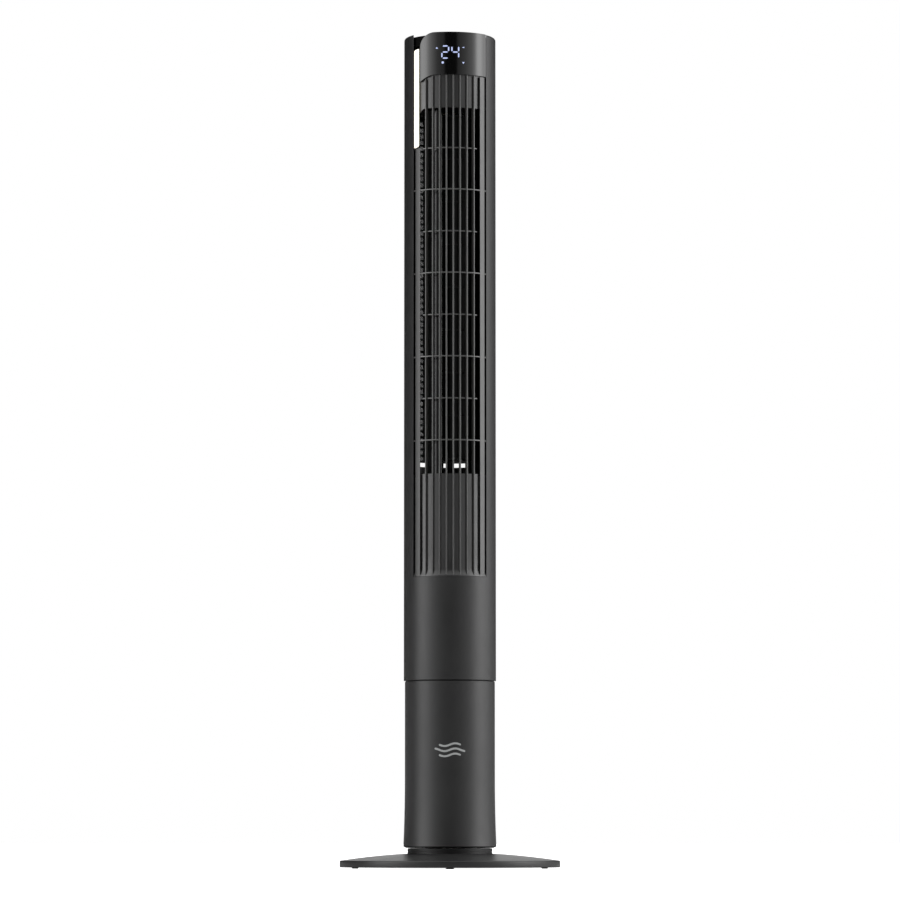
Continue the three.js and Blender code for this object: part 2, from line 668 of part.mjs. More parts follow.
function rearHousing() {
  const from = 90 + SPLIT;
  const wall = (start, end, bottom, top) =>
    arcWall(HOUSING_INSIDE, TOWER_RADIUS, start, end, bottom, top);
  const shell = wall(from, 360 - from, HOUSING_BOTTOM, TOTAL_HEIGHT);
  const start = 180 - INTAKE_HALF_ANGLE;
  const end = 180 + INTAKE_HALF_ANGLE;
  const reach = [at(FAR, start), at(FAR, 180 - 45), at(FAR, 180 + 45), at(FAR, end), [0, 0]];
  const window = prism(reach, INTAKE_BOTTOM, INTAKE_TOP);
  const pieces = MULLION_ANGLES.map((bearing) =>
    wall(
      bearing - MULLION_HALF_ANGLE,
      bearing + MULLION_HALF_ANGLE,
      INTAKE_BOTTOM - 1,
      INTAKE_TOP + 1,
    ),
  );
  for (let z = INTAKE_BOTTOM + SLAT_GAP; z + SLAT_HEIGHT < INTAKE_TOP; z += SLAT_PITCH)
    pieces.push(
      arcWall(HOUSING_INSIDE, TOWER_RADIUS, start - 1, end + 1, z, z + SLAT_HEIGHT, 2 * FACET),
    );
  const screwHoles = [HOUSING_SCREW_HEIGHT, CAP_SCREW_HEIGHT].flatMap(screwTools);
  return cut(join(cut(shell, window), ...pieces), ...screwHoles);
}
addPiece(towerGroup, "rear_housing", rearHousing(), shellPlastic);

function topCap() {
  const outside = HOUSING_INSIDE - GAP;
  const cap = innerSpin([
    [0, CAP_TOP - PLATE],
    [outside - PLATE, CAP_TOP - PLATE],
    [outside - PLATE, CAP_TOP - CAP_SKIRT],
    [outside, CAP_TOP - CAP_SKIRT],
    [outside, CAP_TOP],
    [0, CAP_TOP],
  ]);
  return cut(cap, ...pilotTools(CAP_SCREW_HEIGHT));
}
addPiece(towerGroup, "top_cap", topCap(), innerPlastic);

// ---------- Display ----------
const PANEL_RIGHT = OPENING_HALF_WIDTH - GAP;
const PANEL_TOP = TOTAL_HEIGHT - GAP;
const PANEL_BOTTOM = TOTAL_HEIGHT - DISPLAY_HEIGHT;

// The panel seen from the front: one round upper corner, and a lower edge that sweeps down.
function panelOutline(margin) {
  const left = -PANEL_LEFT - margin;
  const bottom = PANEL_BOTTOM - margin;
  const steps = [0, 1, 2, 3, 4, 5];
  const sweep = steps.map((step) => {
    const share = step / 5;
    return [left + PANEL_SWEEP_WIDTH * (1 - share), bottom - PANEL_SWEEP_DROP * share ** 2];
  });
  const corner = steps.map((step) => {
    const angle = (Math.PI / 2) * (1 - step / 5);
    const centre = [left + PANEL_CORNER, PANEL_TOP - PANEL_CORNER];
    return [
      centre[0] - PANEL_CORNER * Math.sin(angle),
      centre[1] + PANEL_CORNER * Math.cos(angle),
    ];
  });
  return [[PANEL_RIGHT, bottom], ...sweep, ...corner, [PANEL_RIGHT, PANEL_TOP]];
}

const panelInside = HOUSING_INSIDE + 0.1;
const panelRing = tube(panelInside, TOWER_RADIUS - 0.1, WINDOW_TOP, TOTAL_HEIGHT);
const panel = panelRing.intersect(frontPrism(panelOutline(0), -FAR, 0));
addPiece(towerGroup, "display_panel", panel, displayGloss);

const DISPLAY_BOARD_DEPTH = 12; // behind the housing's inner face
const DISPLAY_BOARD_HALF = 28;
const DIGITS_TOP = CAP_TOP - CAP_SKIRT - 1;
const DIGITS_HEIGHT = 23;
const DIGITS_SPAN = [-13, 15];
const displayBoardFront = -(HOUSING_INSIDE - DISPLAY_BOARD_DEPTH);
const displayBoardBack = displayBoardFront + BOARD_THICKNESS;
const displayBoard = block(
  [-DISPLAY_BOARD_HALF, DISPLAY_BOARD_HALF],
  [displayBoardFront, displayBoardBack],
  [PANEL_BOTTOM + 4, DIGITS_TOP - 2],
);
addPiece(towerGroup, "display_board", displayBoard, circuitBoard);
const digitSpanY = [-(HOUSING_INSIDE - WALL), displayBoardFront - GAP];
const digits = block(DIGITS_SPAN, digitSpanY, [DIGITS_TOP - DIGITS_HEIGHT, DIGITS_TOP]);
addPiece(towerGroup, "digit_module", digits, displayGloss);

// ---------- Lamp beside the display ----------
const LAMP_TOP = TOTAL_HEIGHT - LAMP_TOP_DROP;
const LAMP_BOTTOM = LAMP_TOP - LAMP_LENGTH;
const LAMP_RIGHT = -PANEL_LEFT - 0.4;
const LAMP_LEFT = LAMP_RIGHT - LAMP_WIDTH;
const LAMP_END = 4; // height of the slanted ends
const LAMP_INSET = 0.8; // behind the housing's face
const LAMP_DEPTH = 3.3;
const lampOutline = [
  [LAMP_LEFT, LAMP_BOTTOM],
  [LAMP_RIGHT, LAMP_BOTTOM + LAMP_END],
  [LAMP_RIGHT, LAMP_TOP],
  [LAMP_LEFT, LAMP_TOP - LAMP_END],
];
const lampFace = TOWER_RADIUS - LAMP_INSET;
const lampBack = lampFace - LAMP_DEPTH;
const lampRing = tube(lampBack, lampFace, LAMP_BOTTOM - 1, LAMP_TOP + 1);
const diffuser = lampRing.intersect(frontPrism(lampOutline, -FAR, 0));
addPiece(towerGroup, "lamp_diffuser", diffuser, lampDiffuser);
const lampBoardFace = lampBack - 0.9;
const lampBoardRing = tube(
  lampBoardFace - BOARD_THICKNESS + 0.2,
  lampBoardFace,
  LAMP_BOTTOM + 3,
  LAMP_TOP - 3,
);
const lampBoard = lampBoardRing.intersect(
  block([LAMP_LEFT + 0.5, LAMP_RIGHT - 0.5], [-FAR, 0], [0, TOTAL_HEIGHT]),
);
addPiece(towerGroup, "lamp_board", lampBoard, circuitBoard);

// ---------- Front grille ----------
const GRILLE_FACE = TOWER_RADIUS - 0.5;
const BLANK_DEPTH = 4.4; // the closed walls lie this far behind the housing's face
const BLANK_WALL = 2.4;
const BLANK_FACE = TOWER_RADIUS - BLANK_DEPTH;
const BLANK_BACK = BLANK_FACE - BLANK_WALL;
const RIB_END = 4; // a short rib reaches past the outermost slim bars
const ribSpan = OPENING_HALF_WIDTH - GAP;
const shortRibSpan = (BARS_PER_SIDE - 0.5) * BAR_PITCH + RIB_END;

function frontGrille() {
  const low = GRILLE_BOTTOM + GAP;
  const faceRing = innerTube(BLANK_BACK + 0.4, GRILLE_FACE, low, GRILLE_TOP);
  // A bar stands square to the round front, so its sides follow the radius through its middle.
  const barAt = (middle, width, top) => {
    const bearing = THREE.MathUtils.radToDeg(Math.asin(middle / GRILLE_FACE));
    const bar = block([-width / 2, width / 2], [-FAR, 0], [0, top]).rotate(0, 0, bearing);
    return faceRing.intersect(bar);
  };
  const bars = [];
  for (let k = 0; k < BARS_PER_SIDE; k++) {
    const middle = (k + 0.5) * BAR_PITCH;
    for (const side of [-1, 1]) bars.push(barAt(side * middle, BAR_THICKNESS, TOTAL_HEIGHT));
  }
  const endMiddle = (END_BAR_INNER + END_BAR_OUTER) / 2;
  const endWidth = (END_BAR_OUTER - END_BAR_INNER) / Math.cos(Math.asin(endMiddle / GRILLE_FACE));
  const endBars = [
    barAt(endMiddle, endWidth, TOTAL_HEIGHT),
    barAt(-endMiddle, endWidth, LAMP_BOTTOM - 1.5),
  ];

  const ribs = [];
  const halfDepth = BAR_DEPTH / 2;
  const longRing = innerTube(GRILLE_FACE - halfDepth, GRILLE_FACE, 0, RIB_HEIGHT);
  const shortRing = innerTube(GRILLE_FACE - BAR_DEPTH, GRILLE_FACE - halfDepth, 0, RIB_HEIGHT);
  let isShort = true;
  for (let z = WINDOW_TOP - RIB_DROP; z > WINDOW_BOTTOM + RIB_HEIGHT; z -= RIB_PITCH) {
    const reach = isShort ? shortRibSpan : ribSpan;
    const ring = isShort ? shortRing : longRing;
    const rib = ring.intersect(block([-reach, reach], [-FAR, 0], [-1, RIB_HEIGHT + 1]));
    ribs.push(rib.translate(0, 0, z - RIB_HEIGHT / 2));
    isShort = !isShort;
  }

  const lowerBlank = innerSpin([
    [BLANK_BACK, low],
    [GRILLE_FACE, low],
    [GRILLE_FACE, low + 0.7],
    [BLANK_FACE, low + RAMP_HEIGHT],
    [BLANK_FACE, WINDOW_BOTTOM],
    [BLANK_BACK, WINDOW_BOTTOM],
  ]).intersect(block([-ribSpan, ribSpan], [-FAR, 0], [0, TOTAL_HEIGHT]));
  const upperBlank = innerTube(BLANK_BACK, BLANK_FACE, WINDOW_TOP, GRILLE_TOP).intersect(
    block([LAMP_RIGHT + 0.3, ribSpan], [-FAR, 0], [0, TOTAL_HEIGHT]),
  );
  const clearOfPanel = frontPrism(panelOutline(0.4), -FAR, 0);
  return cut(join(...bars, ...endBars, ...ribs, lowerBlank, upperBlank), clearOfPanel);
}
addPiece(towerGroup, "front_grille", frontGrille(), grillePlastic);

// ---------- Air duct and impeller ----------
const INNER_EDGE = BLANK_BACK - GAP; // the inner discs fit inside the grille's closed walls
const MOUNT_TOP = WINDOW_BOTTOM - 1.5;
const MOUNT_BOTTOM = MOUNT_TOP - PLATE;
const BRACKET_LOW = WINDOW_TOP + 1.5;
const BEARING_BORE = SHAFT_RADIUS + 0.3;
const BEARING_OUTSIDE = 9;
const BEARING_FLANGE = 3;
const IMPELLER_BOTTOM = MOUNT_TOP + IMPELLER_RISE;
const IMPELLER_TOP = BRACKET_LOW - 9;
const MOTOR_TOP = MOUNT_BOTTOM - GAP;
const MOTOR_BOTTOM = MOTOR_TOP - MOTOR_HEIGHT;
const SHAFT_DEPTH = 30;
const behind = (solid) => solid.translate(0, IMPELLER_SHIFT, 0);

const motorMount = cut(
  innerTube(0, INNER_EDGE, MOUNT_BOTTOM, MOUNT_TOP),
  behind(smallTube(0, SHAFT_RADIUS + 2, 0, TOTAL_HEIGHT)),
);
addPiece(towerGroup, "motor_mount", motorMount, innerPlastic);
const bearingBracket = cut(
  innerTube(0, INNER_EDGE, BRACKET_LOW, BRACKET_LOW + PLATE),
  behind(smallTube(0, BEARING_OUTSIDE + GAP, 0, TOTAL_HEIGHT)),
);
addPiece(towerGroup, "bearing_bracket", bearingBracket, innerPlastic);

function upperBearing() {
  const flange = BEARING_OUTSIDE + BEARING_FLANGE;
  return spin(
    [
      [BEARING_BORE, BRACKET_LOW],
      [BEARING_OUTSIDE, BRACKET_LOW],
      [BEARING_OUTSIDE, BRACKET_LOW + PLATE + GAP],
      [flange, BRACKET_LOW + PLATE + GAP],
      [flange, BRACKET_LOW + PLATE + 2],
      [BEARING_BORE, BRACKET_LOW + PLATE + 2],
    ],
    SMALL_SIDES,
  );
}
addPiece(towerGroup, "upper_bearing", behind(upperBearing()), bronze);

function mainMotor() {
  const chamfer = 5;
  return innerSpin([
    [0, MOTOR_BOTTOM],
    [MOTOR_RADIUS - chamfer, MOTOR_BOTTOM],
    [MOTOR_RADIUS, MOTOR_BOTTOM + chamfer],
    [MOTOR_RADIUS, MOTOR_TOP],
    [BEARING_BORE, MOTOR_TOP],
    [BEARING_BORE, MOTOR_TOP - SHAFT_DEPTH - 2],
    [0, MOTOR_TOP - SHAFT_DEPTH - 2],
  ]);
}
addPiece(towerGroup, "main_motor", behind(mainMotor()), steel);

// The scroll opens steadily from the rear right to the right edge of the outlet, where it meets
// the edge of the inner discs.
const DUCT_WALL = 2;
const SCROLL_START = 145;
const SCROLL_END = 60;
const SCROLL_STEPS = 6;
const SCROLL_CLEARANCE = 4;

function ductScroll() {
  const startRadius = IMPELLER_RADIUS + SCROLL_CLEARANCE;
  const endFromAxis = INNER_EDGE - DUCT_WALL - 1; // from the swing axis
  const [side, forward] = at(IMPELLER_SHIFT, SCROLL_END);
  const endRadius = Math.sqrt(endFromAxis ** 2 - side ** 2) - forward;
  const face = [];
  const back = [];
  for (let step = 0; step <= SCROLL_STEPS; step++) {
    const share = step / SCROLL_STEPS;
    const bearing = SCROLL_START + (SCROLL_END - SCROLL_START) * share;
    const radius = startRadius + (endRadius - startRadius) * share;
    face.push(at(radius, bearing));
    back.unshift(at(radius + DUCT_WALL, bearing));
  }
  return behind(prism([...face, ...back], MOUNT_TOP + GAP, BRACKET_LOW - GAP));
}
addPiece(towerGroup, "duct_scroll", ductScroll(), innerPlastic);

// The tongue runs from behind the outermost slim bar towards the impeller. It ends in a round
// lip, where the air that leaves parts from the air that goes round again.
const LIP_RADIUS = 7.5;
const LIP_CLEARANCE = 5;
const LIP_BEARING = -20.8; // from the impeller's axis

function ductTongue() {
  const [lipX, lipFromAxis] = at(IMPELLER_RADIUS + LIP_CLEARANCE + LIP_RADIUS, LIP_BEARING);
  const lipY = lipFromAxis + IMPELLER_SHIFT;
  const plateEnd = -(BARS_PER_SIDE - 0.5) * BAR_PITCH;
  const halfPlate = DUCT_WALL / 2;
  const plateTurn = THREE.MathUtils.radToDeg(Math.asin(halfPlate / LIP_RADIUS));
  const lip = bearings(plateTurn - 90, 270 - plateTurn, 30).map((bearing) => {
    const [x, y] = at(LIP_RADIUS, bearing);
    return [lipX + x, lipY + y];
  });
  const outline = [[plateEnd, lipY - halfPlate], ...lip, [plateEnd, lipY + halfPlate]];
  return prism(outline, MOUNT_TOP + GAP, BRACKET_LOW - GAP);
}
addPiece(towerGroup, "duct_tongue", ductTongue(), innerPlastic);

// A cross-flow impeller: forward-curved blades held by thin rings, with a disc at each end.
function impeller() {
  const bladeInside = IMPELLER_RADIUS - BLADE_DEPTH;
  // A blade's face, or its back when `thickness` is above zero, at a share of its depth.
  const bladePoint = (share, thickness) => {
    const radius = bladeInside + BLADE_DEPTH * share;
    const swing = BLADE_SWING * share ** 1.6;
    return at(radius, swing + THREE.MathUtils.radToDeg(thickness / radius));
  };
  const face = [0, 0.5, 1].map((share) => bladePoint(share, 0));
  const back = [1, 0.5, 0].map((share) => bladePoint(share, BLADE_THICKNESS));
  const blade = prism([...face, ...back], IMPELLER_BOTTOM, IMPELLER_TOP);
  const blades = Array.from({ length: BLADES }, (_, k) => blade.rotate(0, 0, (360 / BLADES) * k));
  const ringCount = Math.round((IMPELLER_TOP - IMPELLER_BOTTOM) / RING_PITCH);
  const ringStep = (IMPELLER_TOP - IMPELLER_BOTTOM) / ringCount;
  const rings = Array.from({ length: ringCount - 1 }, (_, k) => {
    const low = IMPELLER_BOTTOM + ringStep * (k + 1) - RING_HEIGHT / 2;
    return smallTube(bladeInside - 1, IMPELLER_RADIUS - 1, low, low + RING_HEIGHT);
  });
  const discBottom = IMPELLER_BOTTOM - END_DISC;
  const ends = [discBottom, IMPELLER_TOP].map((z) =>
    innerTube(0, IMPELLER_RADIUS - 0.5, z, z + END_DISC),
  );
  const hub = smallTube(0, HUB_RADIUS, discBottom - HUB_HEIGHT, discBottom + 1);
  const lowerShaft = smallTube(0, SHAFT_RADIUS, MOTOR_TOP - SHAFT_DEPTH, discBottom);
  const upperShaft = smallTube(0, SHAFT_RADIUS, IMPELLER_TOP + 1, BRACKET_LOW + PLATE + 4);
  return join(...blades, ...rings, ...ends, hub, lowerShaft, upperShaft);
}
addPiece(impellerGroup, "impeller", impeller(), innerPlastic);
impellerGroup.position.y = IMPELLER_SHIFT;

export default towerFan;
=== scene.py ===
# %% [markdown]
# # A tower fan
# A slim column stands on a round domed base. The upper housing holds a tall cross-flow
# impeller behind a grille of upright bars, a glossy display and a narrow lamp.
# The mechanism comes as fixed parts that already fit each other, so every visible shell
# here is made to lie exactly where its plain part lies, and rides on the same body.

import json

import bmesh
import bpy
import numpy as np
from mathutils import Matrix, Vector


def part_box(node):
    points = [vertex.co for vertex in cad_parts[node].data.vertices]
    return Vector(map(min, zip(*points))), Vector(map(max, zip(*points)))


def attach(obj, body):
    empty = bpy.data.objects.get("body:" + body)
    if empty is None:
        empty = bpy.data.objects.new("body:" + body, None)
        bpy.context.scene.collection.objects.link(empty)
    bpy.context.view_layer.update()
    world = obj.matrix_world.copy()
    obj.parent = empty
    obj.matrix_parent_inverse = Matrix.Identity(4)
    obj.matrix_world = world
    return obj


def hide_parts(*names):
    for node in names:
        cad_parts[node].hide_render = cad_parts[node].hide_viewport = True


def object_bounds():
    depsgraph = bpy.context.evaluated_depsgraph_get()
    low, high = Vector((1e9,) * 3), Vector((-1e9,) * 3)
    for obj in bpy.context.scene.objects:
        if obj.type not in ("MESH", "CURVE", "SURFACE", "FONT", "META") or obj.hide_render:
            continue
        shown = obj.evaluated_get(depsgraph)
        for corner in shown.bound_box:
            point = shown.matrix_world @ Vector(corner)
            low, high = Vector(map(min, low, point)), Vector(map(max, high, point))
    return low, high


MM = 0.001

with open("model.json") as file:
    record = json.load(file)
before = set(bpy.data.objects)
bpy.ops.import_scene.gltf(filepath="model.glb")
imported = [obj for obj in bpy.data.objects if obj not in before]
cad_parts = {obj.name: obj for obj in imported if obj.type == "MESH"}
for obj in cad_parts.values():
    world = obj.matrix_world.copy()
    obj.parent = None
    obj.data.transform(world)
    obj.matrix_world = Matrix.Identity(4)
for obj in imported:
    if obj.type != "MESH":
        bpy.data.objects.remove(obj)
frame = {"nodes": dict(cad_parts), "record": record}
cad_low, cad_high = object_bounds()
cad_size = [round(1000 * (high - low)) for low, high in zip(cad_low, cad_high)]
print(len(frame["nodes"]), "fixed parts, object size in mm:", cad_size)

# %% [markdown]
# ## Camera
# A long lens a good six metres away, close to the floor and tilted slightly up, keeps the
# base edge-on and lets the round top edge arch gently. A shorter lens would bend the column.

# %% Camera
LENS = 184.5
CAMERA_PLACE = Vector((0.00015, -6.55, 0.04))
CAMERA_TILT = np.radians(90 + 4.836)

camera_data = bpy.data.cameras.new("camera")
camera_data.lens = LENS
camera_data.sensor_width = 36
camera_data.clip_end = 100
camera = bpy.data.objects.new("camera", camera_data)
camera.location = CAMERA_PLACE
camera.rotation_euler = (CAMERA_TILT, 0, 0)
bpy.context.scene.collection.objects.link(camera)
bpy.context.scene.camera = camera
print("camera", round(CAMERA_PLACE.length, 2), "m away")

# %% [markdown]
# ## Writing a finish as an expression
# A finish is a small graph of nodes. Wiring it by hand takes a dozen lines for one sum, so
# a wire gets Python's operators, and each operator adds the Math node that works it out.

# %% Wires and finishes


class Wire:
    """The output of a node. Each operator adds a Math node that works it out."""

    def __init__(self, finish, output):
        self.finish = finish
        self.output = output

    def __add__(self, other):
        return self.finish.math("ADD", self, other)

    def __sub__(self, other):
        return self.finish.math("SUBTRACT", self, other)

    def __rsub__(self, other):
        return self.finish.math("SUBTRACT", other, self)

    def __mul__(self, other):
        return self.finish.math("MULTIPLY", self, other)

    def __gt__(self, other):
        return self.finish.math("GREATER_THAN", self, other)

    __radd__ = __add__
    __rmul__ = __mul__


class Finish:
    """A material with one Principled shader. Constants go straight onto its sockets."""

    def __init__(self, name, **constants):
        self.material = bpy.data.materials.new(name)
        self.material.use_nodes = True
        self.tree = self.material.node_tree
        self.shader = self.tree.nodes["Principled BSDF"]
        for socket, value in constants.items():
            self.shader.inputs[socket.replace("_", " ")].default_value = value

    def node(self, kind, settings=None, inputs=None, output=0):
        """Adds a node: its settings first, then the values or wires of its sockets."""
        node = self.tree.nodes.new(kind)
        for name, value in (settings or {}).items():
            if name == "stops":
                while len(node.color_ramp.elements) < len(value):
                    node.color_ramp.elements.new(0.5)
                for element, (position, colour) in zip(node.color_ramp.elements, value):
                    element.position = position
                    element.color = (*colour, 1)
            else:
                setattr(node, name, value)
        for key, value in (inputs or {}).items():
            if isinstance(value, Wire):
                self.tree.links.new(value.output, node.inputs[key])
            else:
                node.inputs[key].default_value = value
        return Wire(self, node.outputs[output])

    def math(self, operation, first, second=0.0):
        """One sum of two values or wires."""
        return self.node("ShaderNodeMath", {"operation": operation}, {0: first, 1: second})

    def hump(self, wire, middle, half):
        """1 in the middle of a strip and 0 at its edges: 1 minus the square of the share."""
        share = (wire - middle) * (1 / half)
        return 1.0 - share * share

    def feed(self, socket, wire):
        """Wires a pattern into a socket of the shader."""
        self.tree.links.new(wire.output, self.shader.inputs[socket])

    def place(self):
        """Object coordinates, in metres."""
        return self.node("ShaderNodeTexCoord", output="Object")

    def axes(self, vector=None):
        """The X, Y and Z of a vector, or else of the place, as three wires."""
        split = self.node("ShaderNodeSeparateXYZ", {}, {0: vector or self.place()})
        outputs = split.output.node.outputs
        return [Wire(self, outputs[name]) for name in "XYZ"]

    def noise(self, per_metre, detail=2.0, roughness=0.5, stretch=None):
        """Smooth noise from 0 to 1; `stretch` scales the place along each axis first."""
        place = self.place()
        if stretch:
            place = self.node("ShaderNodeMapping", {}, {"Vector": place, "Scale": stretch})
        inputs = {"Vector": place, "Scale": per_metre, "Detail": detail, "Roughness": roughness}
        return self.node("ShaderNodeTexNoise", {}, inputs)

    def blend(self, share, low, high, blend_type="MIX"):
        """Blends two colours, each a wire or a red, green and blue, by a share."""
        ends = [end if isinstance(end, Wire) else (*end, 1) for end in (low, high)]
        settings = {"data_type": "RGBA", "blend_type": blend_type}
        return self.node("ShaderNodeMix", settings, {0: share, 6: ends[0], 7: ends[1]}, output=2)

    def relief(self, height, depth):
        """Lets a height pattern, from 0 to 1 over `depth` metres, tilt the surface."""
        inputs = {"Height": height, "Distance": depth, "Strength": 1.0}
        self.feed("Normal", self.node("ShaderNodeBump", {}, inputs))


# %% [markdown]
# ## Moulded plastics
# The shells are charcoal plastic from a spark-eroded mould: an even grain under a
# millimetre across, that spreads each reflection into a soft upright band. A flat grey with
# one roughness would look like card. Grain goes into the relief, and larger, fainter clouds
# into the roughness and colour, as handling and the mould's own wear leave them.

# %% Moulded plastics
GRAIN_PER_METRE = 1500
CLOUD_CHANGE, GRAIN_CHANGE = 0.14, 0.08
# Painted shade: outside the outlet window's heights the bars' colour is multiplied by this.
SHADED = 0.45
WINDOW_LOW, WINDOW_HIGH = 555.9, 1077.5


def grey(level):
    """The same amount of red, green and blue."""
    return (level, level, level)


def moulded(name, low, high, roughness, grain_depth, sheen=0.5, painted_shade_outside=None):
    """Grained plastic: colour between two close tones, roughness with slow clouds. Outside
    the two heights in metres, where given, the colour is less than half as light: painted
    shade, for parts that get less light there."""
    finish = Finish(name, Specular_IOR_Level=sheen)
    fine = finish.noise(GRAIN_PER_METRE, 3.0, 0.6)
    clouds = finish.noise(38, 3.0, 0.55)
    tint = finish.noise(14, 2.0, 0.5)
    tone = finish.blend(fine * 0.5 + clouds * 0.5, low, high)
    cast = finish.blend(tint, (0.93, 1.0, 0.88), (1.04, 0.96, 1.04))
    tinted = finish.blend(1.0, tone, cast, "MULTIPLY")
    # Painted shade outside the two heights, where the colour is multiplied down.
    if painted_shade_outside:
        height = finish.axes()[2]
        is_between = (height > painted_shade_outside[0]) - (height > painted_shade_outside[1])
        shade = finish.blend(is_between, grey(SHADED), grey(1.0))
        tinted = finish.blend(1.0, tinted, shade, "MULTIPLY")
    finish.feed("Base Color", tinted)
    mean_change = (CLOUD_CHANGE + GRAIN_CHANGE) / 2
    uneven = clouds * CLOUD_CHANGE + fine * GRAIN_CHANGE
    finish.feed("Roughness", uneven + (roughness - mean_change))
    finish.relief(fine, grain_depth)
    return finish.material


SHELL_TONES = (0.009, 0.009, 0.0095), (0.015, 0.015, 0.0155)
# The bars and ribs are a lighter copy of the grille's plastic: painted light, for the highlight
# their fronts catch.
BAR_TONES_PAINTED_LIGHT = grey(0.042), (0.056, 0.056, 0.055)
BAR_WINDOW = (WINDOW_LOW * MM, WINDOW_HIGH * MM)
shell_plastic = moulded("charcoal_shell", *SHELL_TONES, 0.36, 0.00012)
grille_plastic = moulded("charcoal_grille", grey(0.013), grey(0.019), 0.34, 0.00008, 0.75)
painted_light_and_shade_bars = moulded("charcoal_bars_painted_light_and_shade", *BAR_TONES_PAINTED_LIGHT, 0.32, 0.00006, 0.9, BAR_WINDOW)
# The neck is darker than the shell: black plastic, and painted shade for the shadow under the
# column's foot.
neck_plastic = moulded("neck_black_painted_shade", grey(0.003), grey(0.005), 0.42, 0.00006, 0.3)
# Inside the housing the colours are near zero: black plastic, and painted shade for the dark
# behind the grille.
inner_plastic = moulded("black_inner_painted_shade", grey(0.002), grey(0.004), 0.5, 0.00006, 0.2)
impeller_plastic = moulded("impeller_black_painted_shade", grey(0.002), grey(0.004), 0.45, 0.00004, 0.2)
tongue_plastic = moulded("tongue_black_painted_shade", grey(0.001), grey(0.002), 0.16, 0.00004, 0.6)
acetal = moulded("white_acetal", (0.66, 0.65, 0.61), (0.76, 0.75, 0.71), 0.42, 0.00004)
plastics = [shell_plastic, grille_plastic, painted_light_and_shade_bars, neck_plastic]
plastics += [inner_plastic, impeller_plastic, tongue_plastic, acetal]
print("moulded plastics:", *[material.name for material in plastics])

# %% [markdown]
# ## Gloss, light, rubber and metals
# The display is a piano-black moulding: almost no colour of its own, only reflections, with
# a faint waviness that a mirror-flat shader would not have. The lamp is a frosted rod that
# glows from within. Screws and gears stay plain, with the brushing that turning leaves.

# %% Gloss, light, rubber and metals
LAMP_MIDDLE, LAMP_GLOW_HALF = -46.8, 4.2


def piano_black():
    """Black gloss with slow, faint ripples, two hundredths of a millimetre at most."""
    finish = Finish("piano_black", Specular_IOR_Level=0.62)
    haze = finish.noise(60, 2.0, 0.5)
    finish.feed("Base Color", finish.blend(haze, grey(0.001), grey(0.002)))
    finish.feed("Roughness", haze * 0.06 + 0.09)
    finish.relief(finish.noise(25, 1.0), 0.00005)
    return finish.material


def frosted_light():
    """A glowing rod: warm white, fullest along its middle and warmer at both sides."""
    finish = Finish("frosted_light", Roughness=0.45, Emission_Strength=1.0)
    clouds = finish.noise(20, 1.0)
    across = finish.hump(finish.axes()[0], LAMP_MIDDLE * MM, LAMP_GLOW_HALF * MM)
    warm = finish.blend(across, (0.80, 0.66, 0.48), (0.98, 0.94, 0.83))
    finish.feed("Base Color", finish.blend(clouds, (0.86, 0.80, 0.70), (0.92, 0.88, 0.80)))
    finish.feed("Emission Color", warm)
    return finish.material


def lit_marks():
    """Light behind the panel: pale blue, slightly uneven."""
    finish = Finish("lit_marks", Roughness=0.3, Emission_Strength=0.85)
    uneven = finish.noise(300, 2.0)
    finish.feed("Emission Color", finish.blend(uneven, (0.40, 0.48, 0.90), (0.68, 0.76, 1.0)))
    finish.feed("Base Color", finish.blend(uneven, (0.10, 0.12, 0.2), (0.14, 0.16, 0.24)))
    return finish.material


def soft_rubber():
    """Dull black rubber with a dusty bloom."""
    finish = Finish("soft_rubber", Specular_IOR_Level=0.3)
    bloom = finish.noise(220, 4.0, 0.6)
    finish.feed("Base Color", finish.blend(bloom, grey(0.010), (0.024, 0.023, 0.022)))
    finish.feed("Roughness", bloom * 0.2 + 0.7)
    finish.relief(finish.noise(1200, 2.0), 0.00008)
    return finish.material


def worked_metal(name, low, high, roughness, stretch):
    """Metal with fine lines along one direction: noise that is stretched along them."""
    finish = Finish(name, Metallic=1.0)
    brushing = finish.noise(900, 3.0, 0.6, stretch)
    finish.feed("Base Color", finish.blend(brushing, low, high))
    finish.feed("Roughness", brushing * 0.2 + roughness)
    finish.relief(brushing, 0.00003)
    return finish.material


def printed_board():
    """Green solder mask with pale copper pads on a fine pitch."""
    finish = Finish("printed_board", Roughness=0.35)
    inputs = {"Vector": finish.place(), "Scale": 240.0}
    cells = finish.node("ShaderNodeTexVoronoi", {"distance": "CHEBYCHEV"}, inputs)
    pads = 1.0 - (cells > 0.16)
    weave = finish.noise(500, 2.0)
    mask = finish.blend(weave, (0.010, 0.060, 0.024), (0.016, 0.086, 0.036))
    finish.feed("Base Color", finish.blend(pads, mask, (0.55, 0.42, 0.24)))
    finish.relief(pads, 0.00005)
    return finish.material


def painted_shade_black():
    """Painted shade: a black that gives back almost nothing, for what sits in the
    shadow of the notch and the grooves.
    """
    finish = Finish("painted_shade_black", Specular_IOR_Level=0.04)
    fine = finish.noise(700, 3.0)
    finish.feed("Base Color", finish.blend(fine, grey(0.0006), grey(0.0014)))
    finish.feed("Roughness", fine * 0.1 + 0.6)
    finish.relief(fine, 0.00006)
    return finish.material


display_gloss = piano_black()
lamp_light = frosted_light()
mark_light = lit_marks()
rubber = soft_rubber()
